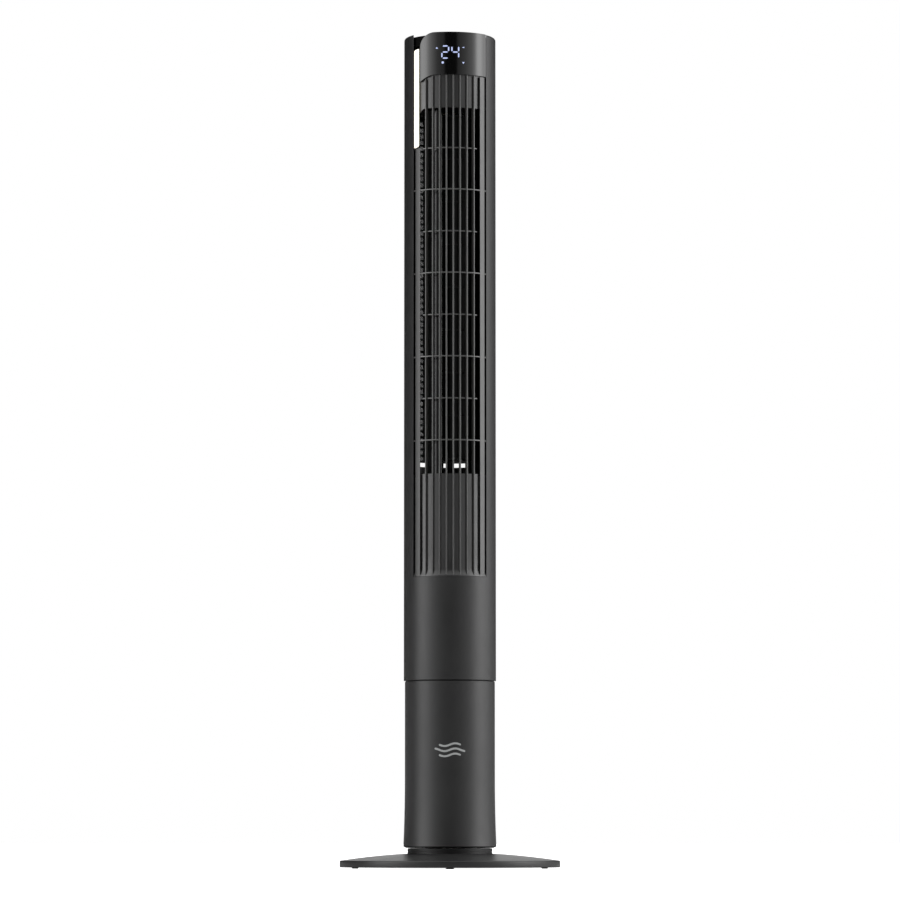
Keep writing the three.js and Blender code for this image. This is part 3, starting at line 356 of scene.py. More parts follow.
# Painted shade: the near-zero black for the notch and the grooves.
painted_shade_finish = painted_shade_black()
steel = worked_metal("plated_steel", (0.42, 0.43, 0.45), (0.60, 0.61, 0.63), 0.28, (1, 1, 0.05))
zinc = worked_metal("bright_zinc", (0.58, 0.59, 0.61), (0.74, 0.75, 0.77), 0.22, (0.08, 1, 1))
bronze = worked_metal("sintered_bronze", (0.40, 0.26, 0.11), (0.58, 0.40, 0.19), 0.38, (1, 1, 1))
circuit_board = printed_board()
SLOT_FINISH = {
    "shell_plastic": shell_plastic,
    "grille_plastic": grille_plastic,
    "inner_plastic": inner_plastic,
    "display_gloss": display_gloss,
    "lamp_diffuser": lamp_light,
    "rubber": rubber,
    "steel": steel,
    "zinc": zinc,
    "acetal": acetal,
    "circuit_board": circuit_board,
    "bronze": bronze,
}

# %% [markdown]
# ## The parts that keep their shape
# Gears, motors, boards and screws already have their true shape, so each only gets the
# finish that its material slot names.

# %% Finish the fixed parts
for part in frame["record"]["subparts"]:
    mesh = frame["nodes"][part["node"]].data
    mesh.materials.clear()
    mesh.materials.append(SLOT_FINISH[part["material_slot"]])

# %% [markdown]
# ## Surfaces from grids
# Every shell below is a grid of points worked out with numpy in millimetres: a profile
# carried round the upright axis, outlines stacked into a solid, or a wall between two grids.
# Modelling each by hand would take long and would not stay exact when a size changes.

# %% Grids and solids
SHARP = np.radians(38)


def at(radius, bearing):
    """The X and Y at a radius and a bearing in degrees: 0 is the front, 90 is +X."""
    angle = np.radians(bearing)
    return radius * np.sin(angle), -radius * np.cos(angle)


def grid_quads(rows, columns, close_rows=False, close_columns=False):
    """The corners of each quad of a grid; a closed direction joins its last line to its first."""
    index = np.arange(rows * columns).reshape(rows, columns)
    if close_rows:
        index = np.vstack([index, index[:1]])
    if close_columns:
        index = np.hstack([index, index[:, :1]])
    corners = [index[:-1, :-1], index[:-1, 1:], index[1:, 1:], index[1:, :-1]]
    return np.stack(corners, -1).reshape(-1, 4).tolist()


def turned(profile, sides=160):
    """A profile of radius and height, carried round the axis. One that starts and ends on
    the axis is closed by its poles; any other is a closed loop."""
    radius, height = np.asarray(profile, float).T
    x, y = at(radius[:, None], np.arange(sides) * 360 / sides)
    points = np.stack([x, y, np.broadcast_to(height[:, None], x.shape)], -1)
    is_ring = radius[0] > 1e-6
    quads = grid_quads(len(radius), sides, close_rows=is_ring, close_columns=True)
    return points.reshape(-1, 3), quads


def stacked(outlines):
    """Closed outlines, one above the other, joined by quads and filled at both ends."""
    rows, columns = outlines.shape[:2]
    first = list(range(columns))
    last = [(rows - 1) * columns + number for number in first]
    quads = grid_quads(rows, columns, close_columns=True)
    return outlines.reshape(-1, 3), [*quads, first[::-1], last]


def gathered(*solids):
    """Several solids as one set of points and faces."""
    points = np.concatenate([solid[0] for solid in solids])
    starts = np.cumsum([0] + [len(solid[0]) for solid in solids])
    faces = [
        [corner + start for corner in face]
        for (_, solid_faces), start in zip(solids, starts)
        for face in solid_faces
    ]
    return points, faces


def walled(outer, inner, kept=None, closed=False):
    """A wall between an outer and an inner grid of points. `kept` says which cells are
    solid, and every edge between a solid and an empty cell gets a face across the wall."""
    rows, columns = outer.shape[:2]
    if kept is None:
        kept = np.ones((rows - 1, columns - 1), bool)
    index = np.arange(rows * columns).reshape(rows, columns)
    if closed:
        index = np.hstack([index, index[:, :1]])
    deep = index + rows * columns
    low, high, right, far = np.s_[:-1, :-1], np.s_[1:, :-1], np.s_[:-1, 1:], np.s_[1:, 1:]
    padded = np.pad(kept, 1)
    if closed:
        padded[1:-1, 0], padded[1:-1, -1] = kept[:, -1], kept[:, 0]
    faces = [
        np.stack([index[low], index[right], index[far], index[high]], -1)[kept],
        np.stack([deep[low], deep[high], deep[far], deep[right]], -1)[kept],
    ]
    edges = [
        (padded[:-2, 1:-1], low, right),
        (padded[2:, 1:-1], far, high),
        (padded[1:-1, :-2], high, low),
        (padded[1:-1, 2:], right, far),
    ]
    for neighbour, start, end in edges:
        border = kept & ~neighbour
        side = np.stack([index[start], deep[start], deep[end], index[end]], -1)
        faces.append(side[border])
    faces = np.concatenate(faces)
    used, numbers = np.unique(faces, return_inverse=True)
    points = np.concatenate([outer.reshape(-1, 3), inner.reshape(-1, 3)])[used]
    return points, numbers.reshape(-1, 4).tolist()


# %% [markdown]
# ## From a grid to a piece
# Points that meet, such as those at a pole, are merged, and faces are turned outwards. A
# small bevel stands for the radius that every moulded edge has, and catches a thin light.

# %% Make a piece


def add_piece(name, solid, body, slot, replaces=(), finish=None, bevel=0.0, segments=2):
    """Makes an object from points in millimetres and faces, and hands it to its body. The
    bevel is in millimetres; the finish is the slot's own, unless another is given."""
    points, faces = solid
    mesh = bpy.data.meshes.new(name)
    mesh.from_pydata((points * MM).tolist(), [], faces)
    work = bmesh.new()
    work.from_mesh(mesh)
    bmesh.ops.remove_doubles(work, verts=work.verts, dist=1e-7)
    bmesh.ops.recalc_face_normals(work, faces=work.faces)
    work.to_mesh(mesh)
    work.free()
    mesh.shade_smooth()
    mesh.set_sharp_from_angle(angle=SHARP)
    mesh.materials.append(finish or SLOT_FINISH[slot])
    piece = bpy.data.objects.new(name, mesh)
    bpy.context.scene.collection.objects.link(piece)
    if bevel:
        edge = piece.modifiers.new("moulded_edges", "BEVEL")
        edge.width = bevel * MM
        edge.segments = segments
        edge.limit_method = "ANGLE"
        edge.angle_limit = SHARP
        edge.harden_normals = True
    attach(piece, body)
    if replaces:
        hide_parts(*replaces)
    print(name, len(mesh.polygons), "faces")


def arc_points(centre, radius, start, end, steps=6):
    """Points on an arc in a radius and height plane, its angles in degrees from outwards."""
    angle = np.radians(np.linspace(start, end, steps))
    return np.stack([centre[0] + radius * np.cos(angle), centre[1] + radius * np.sin(angle)], -1)


# %% [markdown]
# ## Base
# One shallow pressing: a dome that falls from the neck to a thin upright rim. Its height
# falls with the square of the radius, so it is nearly flat at the neck and steeper at the
# rim. Turning a profile is the way such a cover is drawn, and gives exact fillets.

# %% Base cover
RIM_RADIUS = 156.0
RIM_LOW, RIM_HIGH = 1.8, 11.4
DOME_TOP, DOME_TOP_RADIUS = 21.0, 66.0
NECK_RADIUS = 60.0
WALL = 2.6
RIM_FILLET = 1.6


def dome_height(radius):
    """Falls with the square of the radius, from the neck to the rim."""
    fall = (DOME_TOP - RIM_HIGH) / ((RIM_RADIUS - 1) ** 2 - DOME_TOP_RADIUS**2)
    return DOME_TOP - fall * (np.maximum(radius, DOME_TOP_RADIUS) ** 2 - DOME_TOP_RADIUS**2)


def dome_line(start, end, drop, steps=24):
    """Points down the dome between two radii, lowered by `drop`."""
    radius = np.linspace(start, end, steps)
    return np.stack([radius, dome_height(radius) - drop], -1)


rim_centre = (RIM_RADIUS - RIM_FILLET, dome_height(RIM_RADIUS - RIM_FILLET) - RIM_FILLET)
base_profile = np.concatenate(
    [
        [(NECK_RADIUS + 0.3, DOME_TOP - 0.6), (NECK_RADIUS + 0.9, DOME_TOP)],
        dome_line(NECK_RADIUS + 1.2, RIM_RADIUS - RIM_FILLET, 0),
        arc_points(rim_centre, RIM_FILLET, 75, 0),
        [(RIM_RADIUS, 7.0)],
        arc_points((RIM_RADIUS - 1.0, RIM_LOW + 1.0), 1.0, 0, -90),
        [(RIM_RADIUS - WALL, RIM_LOW), (RIM_RADIUS - WALL, 6.0)],
        dome_line(RIM_RADIUS - WALL, NECK_RADIUS + 0.3, WALL, 12),
    ]
)
add_piece("base_dome", turned(base_profile, 256), "base", "shell_plastic", ["base_cover"])

# %% [markdown]
# ## Neck
# The tower turns on a short black tube that is fixed in the base, and its near-black finish
# is also painted shade, for the shadow under the column's foot. A flange under the cover
# holds it down, a fine groove runs round it, and a shelf inside carries the washer that the
# tower glides on. All of it is one turned profile, because every section is the same.

# %% Neck
NECK_INSIDE = NECK_RADIUS - WALL
NECK_LOW, NECK_TOP = 4.4, 28.6
FLANGE_LOW, FLANGE_HIGH = 15.1, 18.0
SHELF_RADIUS = NECK_INSIDE - 13

neck_profile = [
    (NECK_INSIDE, NECK_LOW),
    (NECK_RADIUS, NECK_LOW),
    (NECK_RADIUS, FLANGE_LOW),
    (DOME_TOP_RADIUS, FLANGE_LOW),
    (DOME_TOP_RADIUS, FLANGE_HIGH),
    (NECK_RADIUS, FLANGE_HIGH),
    (NECK_RADIUS, 23.4),
    (NECK_RADIUS - 0.5, 23.6),
    (NECK_RADIUS - 0.5, 24.2),
    (NECK_RADIUS, 24.4),
    (NECK_RADIUS, NECK_TOP - 0.5),
    (NECK_RADIUS - 0.5, NECK_TOP),
    (NECK_INSIDE, NECK_TOP),
    (NECK_INSIDE, NECK_TOP - 2),
    (SHELF_RADIUS, NECK_TOP - 2),
    (SHELF_RADIUS, NECK_TOP - 5),
    (NECK_INSIDE, NECK_TOP - 5),
]
# Its near-black finish is also painted shade under the column's foot.
replaced = ["swivel_collar"]
add_piece("neck_ring", turned(neck_profile), "base", "shell_plastic", replaced, neck_plastic)

# %% [markdown]
# ## Walls with round holes
# A wall on a grid can only lose square cells. To drill it, the cells of a square block are
# left out, and the grid around the block is drawn in: its edge becomes a circle, and the
# pull fades to nothing at twice the block's size. A boolean would leave slivers instead.

# %% Drilled grids
BLOCK_CELLS = 8


def lines(low, high, step, inserts=()):
    """Grid lines no wider apart than the step, with blocks of close lines at the inserts,
    each a middle and a half width. Ordinary lines inside a block are dropped."""
    plain = np.linspace(low, high, max(2, int(np.ceil((high - low) / step)) + 1))
    for middle, half in inserts:
        clear = np.abs(plain - middle) > 2.02 * half
        fine = middle + half * np.linspace(-1, 1, BLOCK_CELLS + 1)
        beside = middle + half * np.array([-2, -1.5, 1.5, 2])
        plain = np.concatenate([plain[clear], fine, beside])
    plain = np.unique(np.round(plain, 5))
    return plain[(plain >= low) & (plain <= high)]


def drill(across, up, holes, kept):
    """Draws the grid onto each hole's circle and drops the cells inside it. `across` and
    `up` are in millimetres along the surface; a hole is its middle, radius and half block."""
    for middle_across, middle_up, radius, half in holes:
        u, v = across - middle_across, up - middle_up
        square = np.maximum(np.abs(u), np.abs(v))
        reach = np.maximum(np.hypot(u, v), 1e-9)
        fade = np.clip((2 * half - square) / half, 0, 1)
        pull = 1 + fade * (np.minimum(square / half, 1) * radius / reach - 1)
        cell = (square[:-1, :-1] + square[1:, 1:] + square[1:, :-1] + square[:-1, 1:]) / 4
        kept &= ~(cell < half)
        across = np.where(fade > 0, middle_across + u * pull, across)
        up = np.where(fade > 0, middle_up + v * pull, up)
    return across, up, kept


def round_grid(bearing, up, radius):
    """The points at each bearing, height and radius."""
    x, y = at(radius, bearing)
    return np.stack(np.broadcast_arrays(x, y, up), -1)


# %% [markdown]
# ## Lower column
# A plain tube that widens by a hair towards its foot, with the cable's hole behind and two
# screws up at the seam. Its underside slopes back up to the neck, which leaves the dark
# ring that the whole fan seems to turn on.

# %% Lower column
COLUMN_RADIUS = 63.8
COLUMN_FLARE = 2.2
COLUMN_LOW, COLUMN_HIGH = 28.9, 263.8
FLARE_HEIGHT = 95.0
UNDERCUT = 2.2
GLAND_HEIGHT, GLAND_HOLE, GLAND_BLOCK = 70.0, 8.3, 7.5
SCREW_BEARINGS = (165.0, 195.0)
SCREW_HOLE = 3.8
COLUMN_SCREW_HEIGHT, COLUMN_SCREW_BLOCK = COLUMN_HIGH - 12, 3.4


def around(bearing, radius):
    """Millimetres round the wall from the front, at a bearing in degrees."""
    return np.radians(bearing) * radius


def column_outside(height):
    """The flare grows with the square of the way down from where it starts."""
    below = np.clip((COLUMN_LOW + FLARE_HEIGHT - height) / FLARE_HEIGHT, 0, 1)
    return COLUMN_RADIUS + COLUMN_FLARE * below**2


def column_wall():
    """The column's flat grid, a full turn without its last line, and its solid cells."""
    holes = [(around(180, COLUMN_RADIUS), GLAND_HEIGHT, GLAND_HOLE, GLAND_BLOCK)]
    for bearing in SCREW_BEARINGS:
        place = (around(bearing, COLUMN_RADIUS), COLUMN_SCREW_HEIGHT)
        holes.append((*place, SCREW_HOLE, COLUMN_SCREW_BLOCK))
    turn = around(360, COLUMN_RADIUS)
    across = lines(0, turn, 2.4, [(hole[0], hole[3]) for hole in holes])[:-1]
    up = lines(COLUMN_LOW, COLUMN_HIGH, 6.0, [(hole[1], hole[3]) for hole in holes])
    across, up = np.meshgrid(across, up)
    kept = np.ones((up.shape[0] - 1, up.shape[1]), bool)
    wrapped = np.ones((up.shape[0] - 1, up.shape[1] - 1), bool)
    across, up, wrapped = drill(across, up, holes, wrapped)
    kept[:, :-1] = wrapped
    return across, up, kept


across, up, kept = column_wall()
bearing = np.degrees(across / COLUMN_RADIUS)
outer = round_grid(bearing, up, column_outside(up))
points, faces = walled(outer, round_grid(bearing, up, COLUMN_RADIUS - WALL), kept, closed=True)
is_outside = np.hypot(points[:, 0], points[:, 1]) > COLUMN_RADIUS
points[is_outside & (points[:, 2] < COLUMN_LOW + 0.01), 2] += UNDERCUT
column = (points, faces)
add_piece("column_shell", column, "tower", "shell_plastic", ["lower_column"], bevel=0.45)

# %% [markdown]
# ## Upper housing
# Two half shells meet at the sides. Both have the same rounded top edge: a quarter arc
# outside, and a smaller one about the same centre inside, so the wall keeps its thickness.
# The front one is cut away by two upright planes for the outlet, the display and the lamp.

# %% Front half shell
HOUSING_RADIUS = 65.4
HOUSING_LOW, HOUSING_HIGH = 265.2, 1186.0
TOP_FILLET = 3.5
SPLIT = 0.15
OPENING_HALF = 51.6
GRILLE_LOW = 410.9
CROWN_CENTRE = (HOUSING_RADIUS - TOP_FILLET, HOUSING_HIGH - TOP_FILLET)
CROWN_CELLS = 7
CHEEK_CELLS, OPENING_CELLS = 18, 48


def crown(inset):
    """Radius and height of the rounded top edge, without the line it starts from."""
    return arc_points(CROWN_CENTRE, TOP_FILLET - inset, 0, 90, CROWN_CELLS + 1)[1:]


def front_half(heights, inset):
    """Rows of points whose cheeks end at the opening's planes, X = plus and minus its half."""
    straight = np.stack([np.full(len(heights), HOUSING_RADIUS - inset), heights], -1)
    radius, height = np.concatenate([straight, crown(inset)]).T[..., None]
    edge = np.degrees(np.arcsin(OPENING_HALF / radius))
    middle = np.linspace(-1, 1, OPENING_CELLS + 1)[1:-1]
    right = edge + (90 - SPLIT - edge) * np.linspace(0, 1, CHEEK_CELLS + 1)
    bearing = np.hstack([-right[:, ::-1], edge * middle, right])
    return round_grid(bearing, height, radius)


heights = np.concatenate(
    [np.linspace(HOUSING_LOW, GRILLE_LOW, 6), np.linspace(GRILLE_LOW, CROWN_CENTRE[1], 28)[1:]]
)
outer, inner = front_half(heights, 0), front_half(heights, WALL)
kept = np.ones((outer.shape[0] - 1, outer.shape[1] - 1), bool)
kept[5:, CHEEK_CELLS : CHEEK_CELLS + OPENING_CELLS] = False
front = walled(outer, inner, kept)
replaced = ["front_housing"]
add_piece("front_shell", front, "tower", "shell_plastic", replaced, bevel=0.7, segments=3)

# %% [markdown]
# ## Rear half shell
# The air comes in through level slats, tied by three mullions. One wall does it all: the
# window is a block of missing cells, and each slat or mullion is a line of cells that stay.

# %% Rear half shell and its slats
SLAT_PITCH = 8.8
SLAT_HEIGHT = 2.8
INTAKE_LOW, INTAKE_HIGH = 573.8, 1075.5
INTAKE_HALF = 80.0
MULLIONS = (145.0, 180.0, 215.0)
MULLION_HALF = 1.5
HOUSING_SCREWS = (HOUSING_LOW + 13, HOUSING_HIGH - 10.5)
HOUSING_SCREW_BLOCK = 3.2

slat_low = np.arange(INTAKE_LOW + SLAT_PITCH - SLAT_HEIGHT, INTAKE_HIGH - SLAT_HEIGHT, SLAT_PITCH)


def rear_across():
    """Upright grid lines: one at each edge of the window and of a mullion, close ones at the
    screws, and ordinary ones wherever there is room between those."""
    stops = [180 - INTAKE_HALF, 180 + INTAKE_HALF]
    stops += [mullion + side * MULLION_HALF for mullion in MULLIONS for side in (-1, 1)]
    stops = around(np.array(stops), HOUSING_RADIUS)
    across = lines(around(90 + SPLIT, HOUSING_RADIUS), around(270 - SPLIT, HOUSING_RADIUS), 4.2)
    is_near = np.min(np.abs(across[:, None] - stops), axis=1) < 1.2
    across = np.unique(np.concatenate([across[~is_near], stops]))
    half = HOUSING_SCREW_BLOCK
    for middle in around(np.array(SCREW_BEARINGS), HOUSING_RADIUS):
        fine = middle + half * np.linspace(-1, 1, BLOCK_CELLS + 1)
        rim = middle + half * np.array([-2, 2])
        across = across[(np.abs(across - middle) > 2.2 * half) | np.isin(across, stops)]
        across = np.unique(np.concatenate([across, fine, rim]))
    return across


def rear_up():
    """Level grid lines: close ones at the screws, and two for each slat."""
    low_screw, high_screw = [[(height, HOUSING_SCREW_BLOCK)] for height in HOUSING_SCREWS]
    below = lines(HOUSING_LOW, INTAKE_LOW, 40, low_screw)
    above = lines(INTAKE_HIGH, CROWN_CENTRE[1], 30, high_screw)
    return np.unique(np.concatenate([below, slat_low, slat_low + SLAT_HEIGHT, above]))


def rear_kept(across, up):
    """A cell is solid outside the window, and in it on a mullion or on a slat."""
    bearing = np.degrees((across[:-1, :-1] + across[1:, 1:]) / 2 / HOUSING_RADIUS)
    height = (up[:-1, :-1] + up[1:, 1:]) / 2
    is_window = (np.abs(bearing - 180) < INTAKE_HALF) & (height > INTAKE_LOW)
    is_window &= height < INTAKE_HIGH
    is_mullion = np.min(np.abs(bearing[..., None] - np.array(MULLIONS)), -1) < MULLION_HALF
    is_mullion &= height > slat_low[0]
    is_slat = (height - (INTAKE_LOW - SLAT_HEIGHT)) % SLAT_PITCH < SLAT_HEIGHT
    return ~is_window | is_mullion | is_slat


across, up = np.meshgrid(rear_across(), rear_up())
screws = [
    (around(bearing, HOUSING_RADIUS), height, SCREW_HOLE, HOUSING_SCREW_BLOCK)
    for bearing in SCREW_BEARINGS
    for height in HOUSING_SCREWS
]
across, up, kept = drill(across, up, screws, rear_kept(across, up))
kept = np.concatenate([kept, np.ones((CROWN_CELLS, kept.shape[1]), bool)])
bearing = np.degrees(across / HOUSING_RADIUS)
shells = []
for inset in (0.0, WALL):
    rounded = round_grid(bearing[-1], crown(inset)[:, 1:], crown(inset)[:, :1])
    shells.append(np.concatenate([round_grid(bearing, up, HOUSING_RADIUS - inset), rounded]))
rear = walled(shells[0], shells[1], kept)
replaced = ["rear_housing"]
add_piece("rear_shell", rear, "tower", "shell_plastic", replaced, bevel=0.35, segments=1)
print(len(slat_low), "slats")

# %% [markdown]
# ## Dust filter
# Behind the slats hangs a thin net. Its threads are far too fine to model, so the sheet is
# a curved wall and a pattern on Alpha opens the square holes between the threads.

# %% Dust filter
FILTER_RADIUS, FILTER_THICKNESS = 61.4, 0.4
FILTER_LOW, FILTER_HIGH = 580.5, 1073.0
FILTER_SIDE = 78
WEAVE_RADIUS, THREAD_PITCH = 60.0, 1.1


def net_cloth():
    """Black threads, half a pitch wide. Alpha is 1 where the share of the pitch that is
    passed, across by the bearing or up by the height, is over a half."""
    finish = Finish("dust_filter", Roughness=0.7)
    x, y, z = finish.axes()
    along = finish.math("ARCTAN2", x, y) * (WEAVE_RADIUS * MM)
    share = [finish.math("FRACT", wire * (1 / (THREAD_PITCH * MM))) for wire in (along, z)]
    finish.feed("Alpha", finish.math("MAXIMUM", share[0] > 0.5, share[1] > 0.5))
    dust = finish.noise(90, 3.0)
    finish.feed("Base Color", finish.blend(dust, grey(0.010), (0.03, 0.029, 0.028)))
    return finish.material


bearing = np.linspace(180 - FILTER_SIDE, 180 + FILTER_SIDE, 49)
height = np.linspace(FILTER_LOW, FILTER_HIGH, 9)[:, None]
outside = round_grid(bearing, height, FILTER_RADIUS)
net = walled(outside, round_grid(bearing, height, FILTER_RADIUS - FILTER_THICKNESS))
add_piece("dust_filter", net, "tower", "inner_plastic", finish=net_cloth())

# %% [markdown]
# ## Shapes seen from the front
# The panel, the lamp and the grille are all drawn as seen from the front, then bent onto a
# cylinder: a point keeps its X and Z, and its depth is the cylinder's at that X. Their
# outlines are two functions of X, one for the lower and one for the upper edge.

# %% Bend a front view onto a cylinder


def bent(x, z, radius):
    """Points of a front view on the front of a cylinder."""
    x, z, radius = np.broadcast_arrays(x, z, radius)
    return np.stack([x, -np.sqrt(radius**2 - x**2), z], -1)


def front_plate(x, low, high, radius, thickness, rows=10):
    """A bent plate between two edges; x, low and high are one value for each column."""
    share = np.linspace(0, 1, rows + 1)[:, None]
    z = low + (high - low) * share
    return walled(bent(x, z, radius), bent(x, z, radius - thickness))


# %% [markdown]
# ## Display panel
# A gloss moulding with one large round corner, whose lower left edge sweeps down into the
# lamp's line. Its edges have a radius of under a millimetre, which draws the thin light
# line along the top.

# %% Display panel
PANEL_LEFT, PANEL_RIGHT = -42.5, 51.3
PANEL_LOW, PANEL_HIGH = 1124.4, 1185.7
PANEL_CORNER = 20.0
SWEEP_WIDTH, SWEEP_DROP = 20.5, 8.7
PANEL_FACE, PANEL_THICKNESS = 65.3, 2.4


def panel_low(x):
    """Level, then falling with the square of the way into the sweep."""
    share = np.clip((PANEL_LEFT + SWEEP_WIDTH - x) / SWEEP_WIDTH, 0, 1)
    return PANEL_LOW - SWEEP_DROP * share**2


def panel_high(x):
    """Level, then a quarter circle down to the left edge."""
    into = np.clip(PANEL_LEFT + PANEL_CORNER - x, 0, PANEL_CORNER)
    return PANEL_HIGH - PANEL_CORNER + np.sqrt(PANEL_CORNER**2 - into**2)


corner = PANEL_LEFT + PANEL_CORNER * (1 - np.cos(np.radians(np.linspace(0, 90, 17))))
panel_x = np.concatenate([corner, np.linspace(corner[-1], PANEL_RIGHT, 41)[1:]])
low, high = panel_low(panel_x), panel_high(panel_x)
panel = front_plate(panel_x, low, high, PANEL_FACE, PANEL_THICKNESS, 12)
replaced = ["display_panel"]
add_piece("gloss_panel", panel, "tower", "display_gloss", replaced, bevel=0.9, segments=4)

# %% [markdown]
# ## Lit digits and signs
# Each lit mark is a narrow shape along a line: its half width is a function of the place
# along it. A segment is even with pointed ends, a triangle tapers, a dot is a circle.

# %% Lit digits and signs
MARK_FACE, MARK_DEPTH = PANEL_FACE + 0.05, 0.12
SEGMENT_HALF = 0.95
DIGIT_WIDTH, DIGIT_HEIGHT = 9.6, 17.4
LEVEL_GAP, UPRIGHT_GAP = 2.6, 2.4
DIGITS_MIDDLE = 1156.4
DIGITS = {
    "2": ("top", "right_up", "middle", "left_low", "low"),
    "4": ("left_up", "middle", "right_up", "right_low"),
}


def lit_shape(x, z, along, half, is_upright):
    """A thin solid on the panel: `half` is its half width at each place along it."""
    side = np.array([-1.0, 1.0])
    across, run = half[:, None] * side, np.broadcast_to(along[:, None], (len(along), 2))
    shift_x, shift_z = (across, run) if is_upright else (run, across)
    outer = bent(x + shift_x, z + shift_z, MARK_FACE)
    return walled(outer, bent(x + shift_x, z + shift_z, MARK_FACE - MARK_DEPTH))


def segment(x, z, length, is_upright):
    """An even bar whose last millimetre narrows to a blunt point."""
    along = np.linspace(-length / 2, length / 2, 13)
    half = np.clip(length / 2 - np.abs(along) + 0.25, 0.25, SEGMENT_HALF)
    return lit_shape(x, z, along, half, is_upright)


def digit(character, x, z):
    """The lit segments of one digit about its middle."""
    half_width, quarter = DIGIT_WIDTH / 2, DIGIT_HEIGHT / 4
    level, upright = DIGIT_WIDTH - LEVEL_GAP, DIGIT_HEIGHT / 2 - UPRIGHT_GAP
    places = {
        "top": (0, 2 * quarter, level, False),
        "middle": (0, 0, level, False),
        "low": (0, -2 * quarter, level, False),
        "left_up": (-half_width, quarter, upright, True),
        "right_up": (half_width, quarter, upright, True),
        "left_low": (-half_width, -quarter, upright, True),
        "right_low": (half_width, -quarter, upright, True),
    }
    for name in DIGITS[character]:
        shift_x, shift_z, length, is_upright = places[name]
        yield segment(x + shift_x, z + shift_z, length, is_upright)


run = np.linspace(-1, 1, 13)
marks = [
    *digit("2", -6.6, DIGITS_MIDDLE),
    *digit("4", 7.7, DIGITS_MIDDLE),
    lit_shape(-18.6, 1162.8, run * 1.3, 1.7 * (1 - run) / 2 + 0.06, True),
    lit_shape(18.9, 1163.4, run * 1.5, 0.15 + 0.75 * (1 + run) / 2, False),
    lit_shape(-10.2, 1141.4, run * 1.7, 1.7 * np.sqrt(1.001 - run**2), True),
    lit_shape(19.2, 1141.0, run * 1.3, 1.7 * (1 + run) / 2 + 0.06, True),
]
add_piece("lit_digits", gathered(*marks), "tower", "lamp_diffuser", finish=mark_light)

# %% [markdown]
# ## Lamp
# A frosted light guide fills the slot beside the display. Its ends slant up to the right
# and its corners are soft, because it is a moulded rod and not a strip of tape.

# %% Lamp
LAMP_LEFT, LAMP_RIGHT = -50.8, -44.0
LAMP_LOW, LAMP_HIGH = 1022.0, 1164.4
LAMP_SLANT = 2.0
LAMP_CORNER = 1.6
LAMP_FACE, LAMP_THICKNESS = 64.6, 3.2

lamp_x = LAMP_LEFT + (LAMP_RIGHT - LAMP_LEFT) * (1 - np.cos(np.linspace(0, np.pi, 17))) / 2
lamp_share = (lamp_x - LAMP_LEFT) / (LAMP_RIGHT - LAMP_LEFT)
from_edge = np.minimum(lamp_x - LAMP_LEFT, LAMP_RIGHT - lamp_x)
into_corner = np.clip(LAMP_CORNER - from_edge, 0, LAMP_CORNER)
corner_drop = LAMP_CORNER - np.sqrt(LAMP_CORNER**2 - into_corner**2)
lamp_low = LAMP_LOW + LAMP_SLANT * lamp_share + corner_drop
lamp_high = LAMP_HIGH - LAMP_SLANT * (1 - lamp_share) - corner_drop
lamp = front_plate(lamp_x, lamp_low, lamp_high, LAMP_FACE, LAMP_THICKNESS)
replaced = ["lamp_diffuser"]
add_piece("light_guide", lamp, "tower", "lamp_diffuser", replaced, bevel=0.7, segments=3)

# %% [markdown]
# ## Outlet grille
# Upright bars stand square to the round front, so away from the middle their inner sides
# show as dark lines. Each bar is one outline, with a rounded nose that catches the light,
# carried up its height. Closed walls sit between the bars above and below the window, and
# the lower one ramps out to meet the housing.

# %% Grille bars
BAR_PITCH = 9.86
BAR_THICKNESS, BAR_NOSE = 2.2, 1.1
BAR_FACE, BAR_BACK = 65.2, 59.4
BAR_LOW = GRILLE_LOW + 0.4
PANEL_GAP = 0.9
GRILLE_FACE = 64.9


def bar_outline(steps=9):
    """Across and outwards: a flat back and sides, and half an ellipse for the nose."""
    angle = np.radians(np.linspace(0, 180, steps))
    side = BAR_THICKNESS / 2
    across = side * np.sign(np.cos(angle)) * np.abs(np.cos(angle)) ** 0.8
    out = BAR_FACE - BAR_NOSE + BAR_NOSE * np.sin(angle)
    return np.array([(-side, BAR_BACK), (side, BAR_BACK), *zip(across, out)])


def raised(x, y, low, high):
    """An outline carried straight up from one height to another."""
    x, y, z = np.broadcast_arrays(x, y, np.array([[low], [high]]))
    return stacked(np.stack([x, y, z], -1))


def bar(middle):
    """The outline stands on the radius through the bar's middle, up to the panel's edge."""
    bearing = np.arcsin(middle / GRILLE_FACE)
    across, out = bar_outline().T
    x = across * np.cos(bearing) + out * np.sin(bearing)
    y = across * np.sin(bearing) - out * np.cos(bearing)
    return raised(x, y, BAR_LOW, panel_low(middle - 1.5) - PANEL_GAP)


# The bars' finish is lighter than the grille's own plastic, which is painted light, and darker
# above and below the window, which is painted shade.
bars = gathered(*[bar(side * (k + 0.5) * BAR_PITCH) for k in range(4) for side in (-1, 1)])
add_piece("grille_bars", bars, "tower", "grille_plastic", ["front_grille"], painted_light_and_shade_bars)

# %% [markdown]
# ## End bars
# The outlet ends in a broader bar on each side. On the mould they are thin curved strips,
# so the view goes past their inner edge to the rear. The left one reaches up to the lamp.

# %% End bars
END_BARS = ((-45.45, 7.0, LAMP_LOW - 1.5), (45.9, 6.8, PANEL_LOW - PANEL_GAP))


def strip(left, right, top, face, thickness):
    """A curved plate from the foot of the grille up to a level top."""
    x = np.linspace(left, right, 9)
    return front_plate(x, np.full(9, BAR_LOW), np.full(9, top), face, thickness, rows=2)


strips = gathered(
    *[
        strip(middle - width / 2, middle + width / 2, top, BAR_FACE, BAR_THICKNESS)
        for middle, width, top in END_BARS
    ]
)
add_piece("end_bars", strips, "tower", "grille_plastic", bevel=0.7, segments=3)

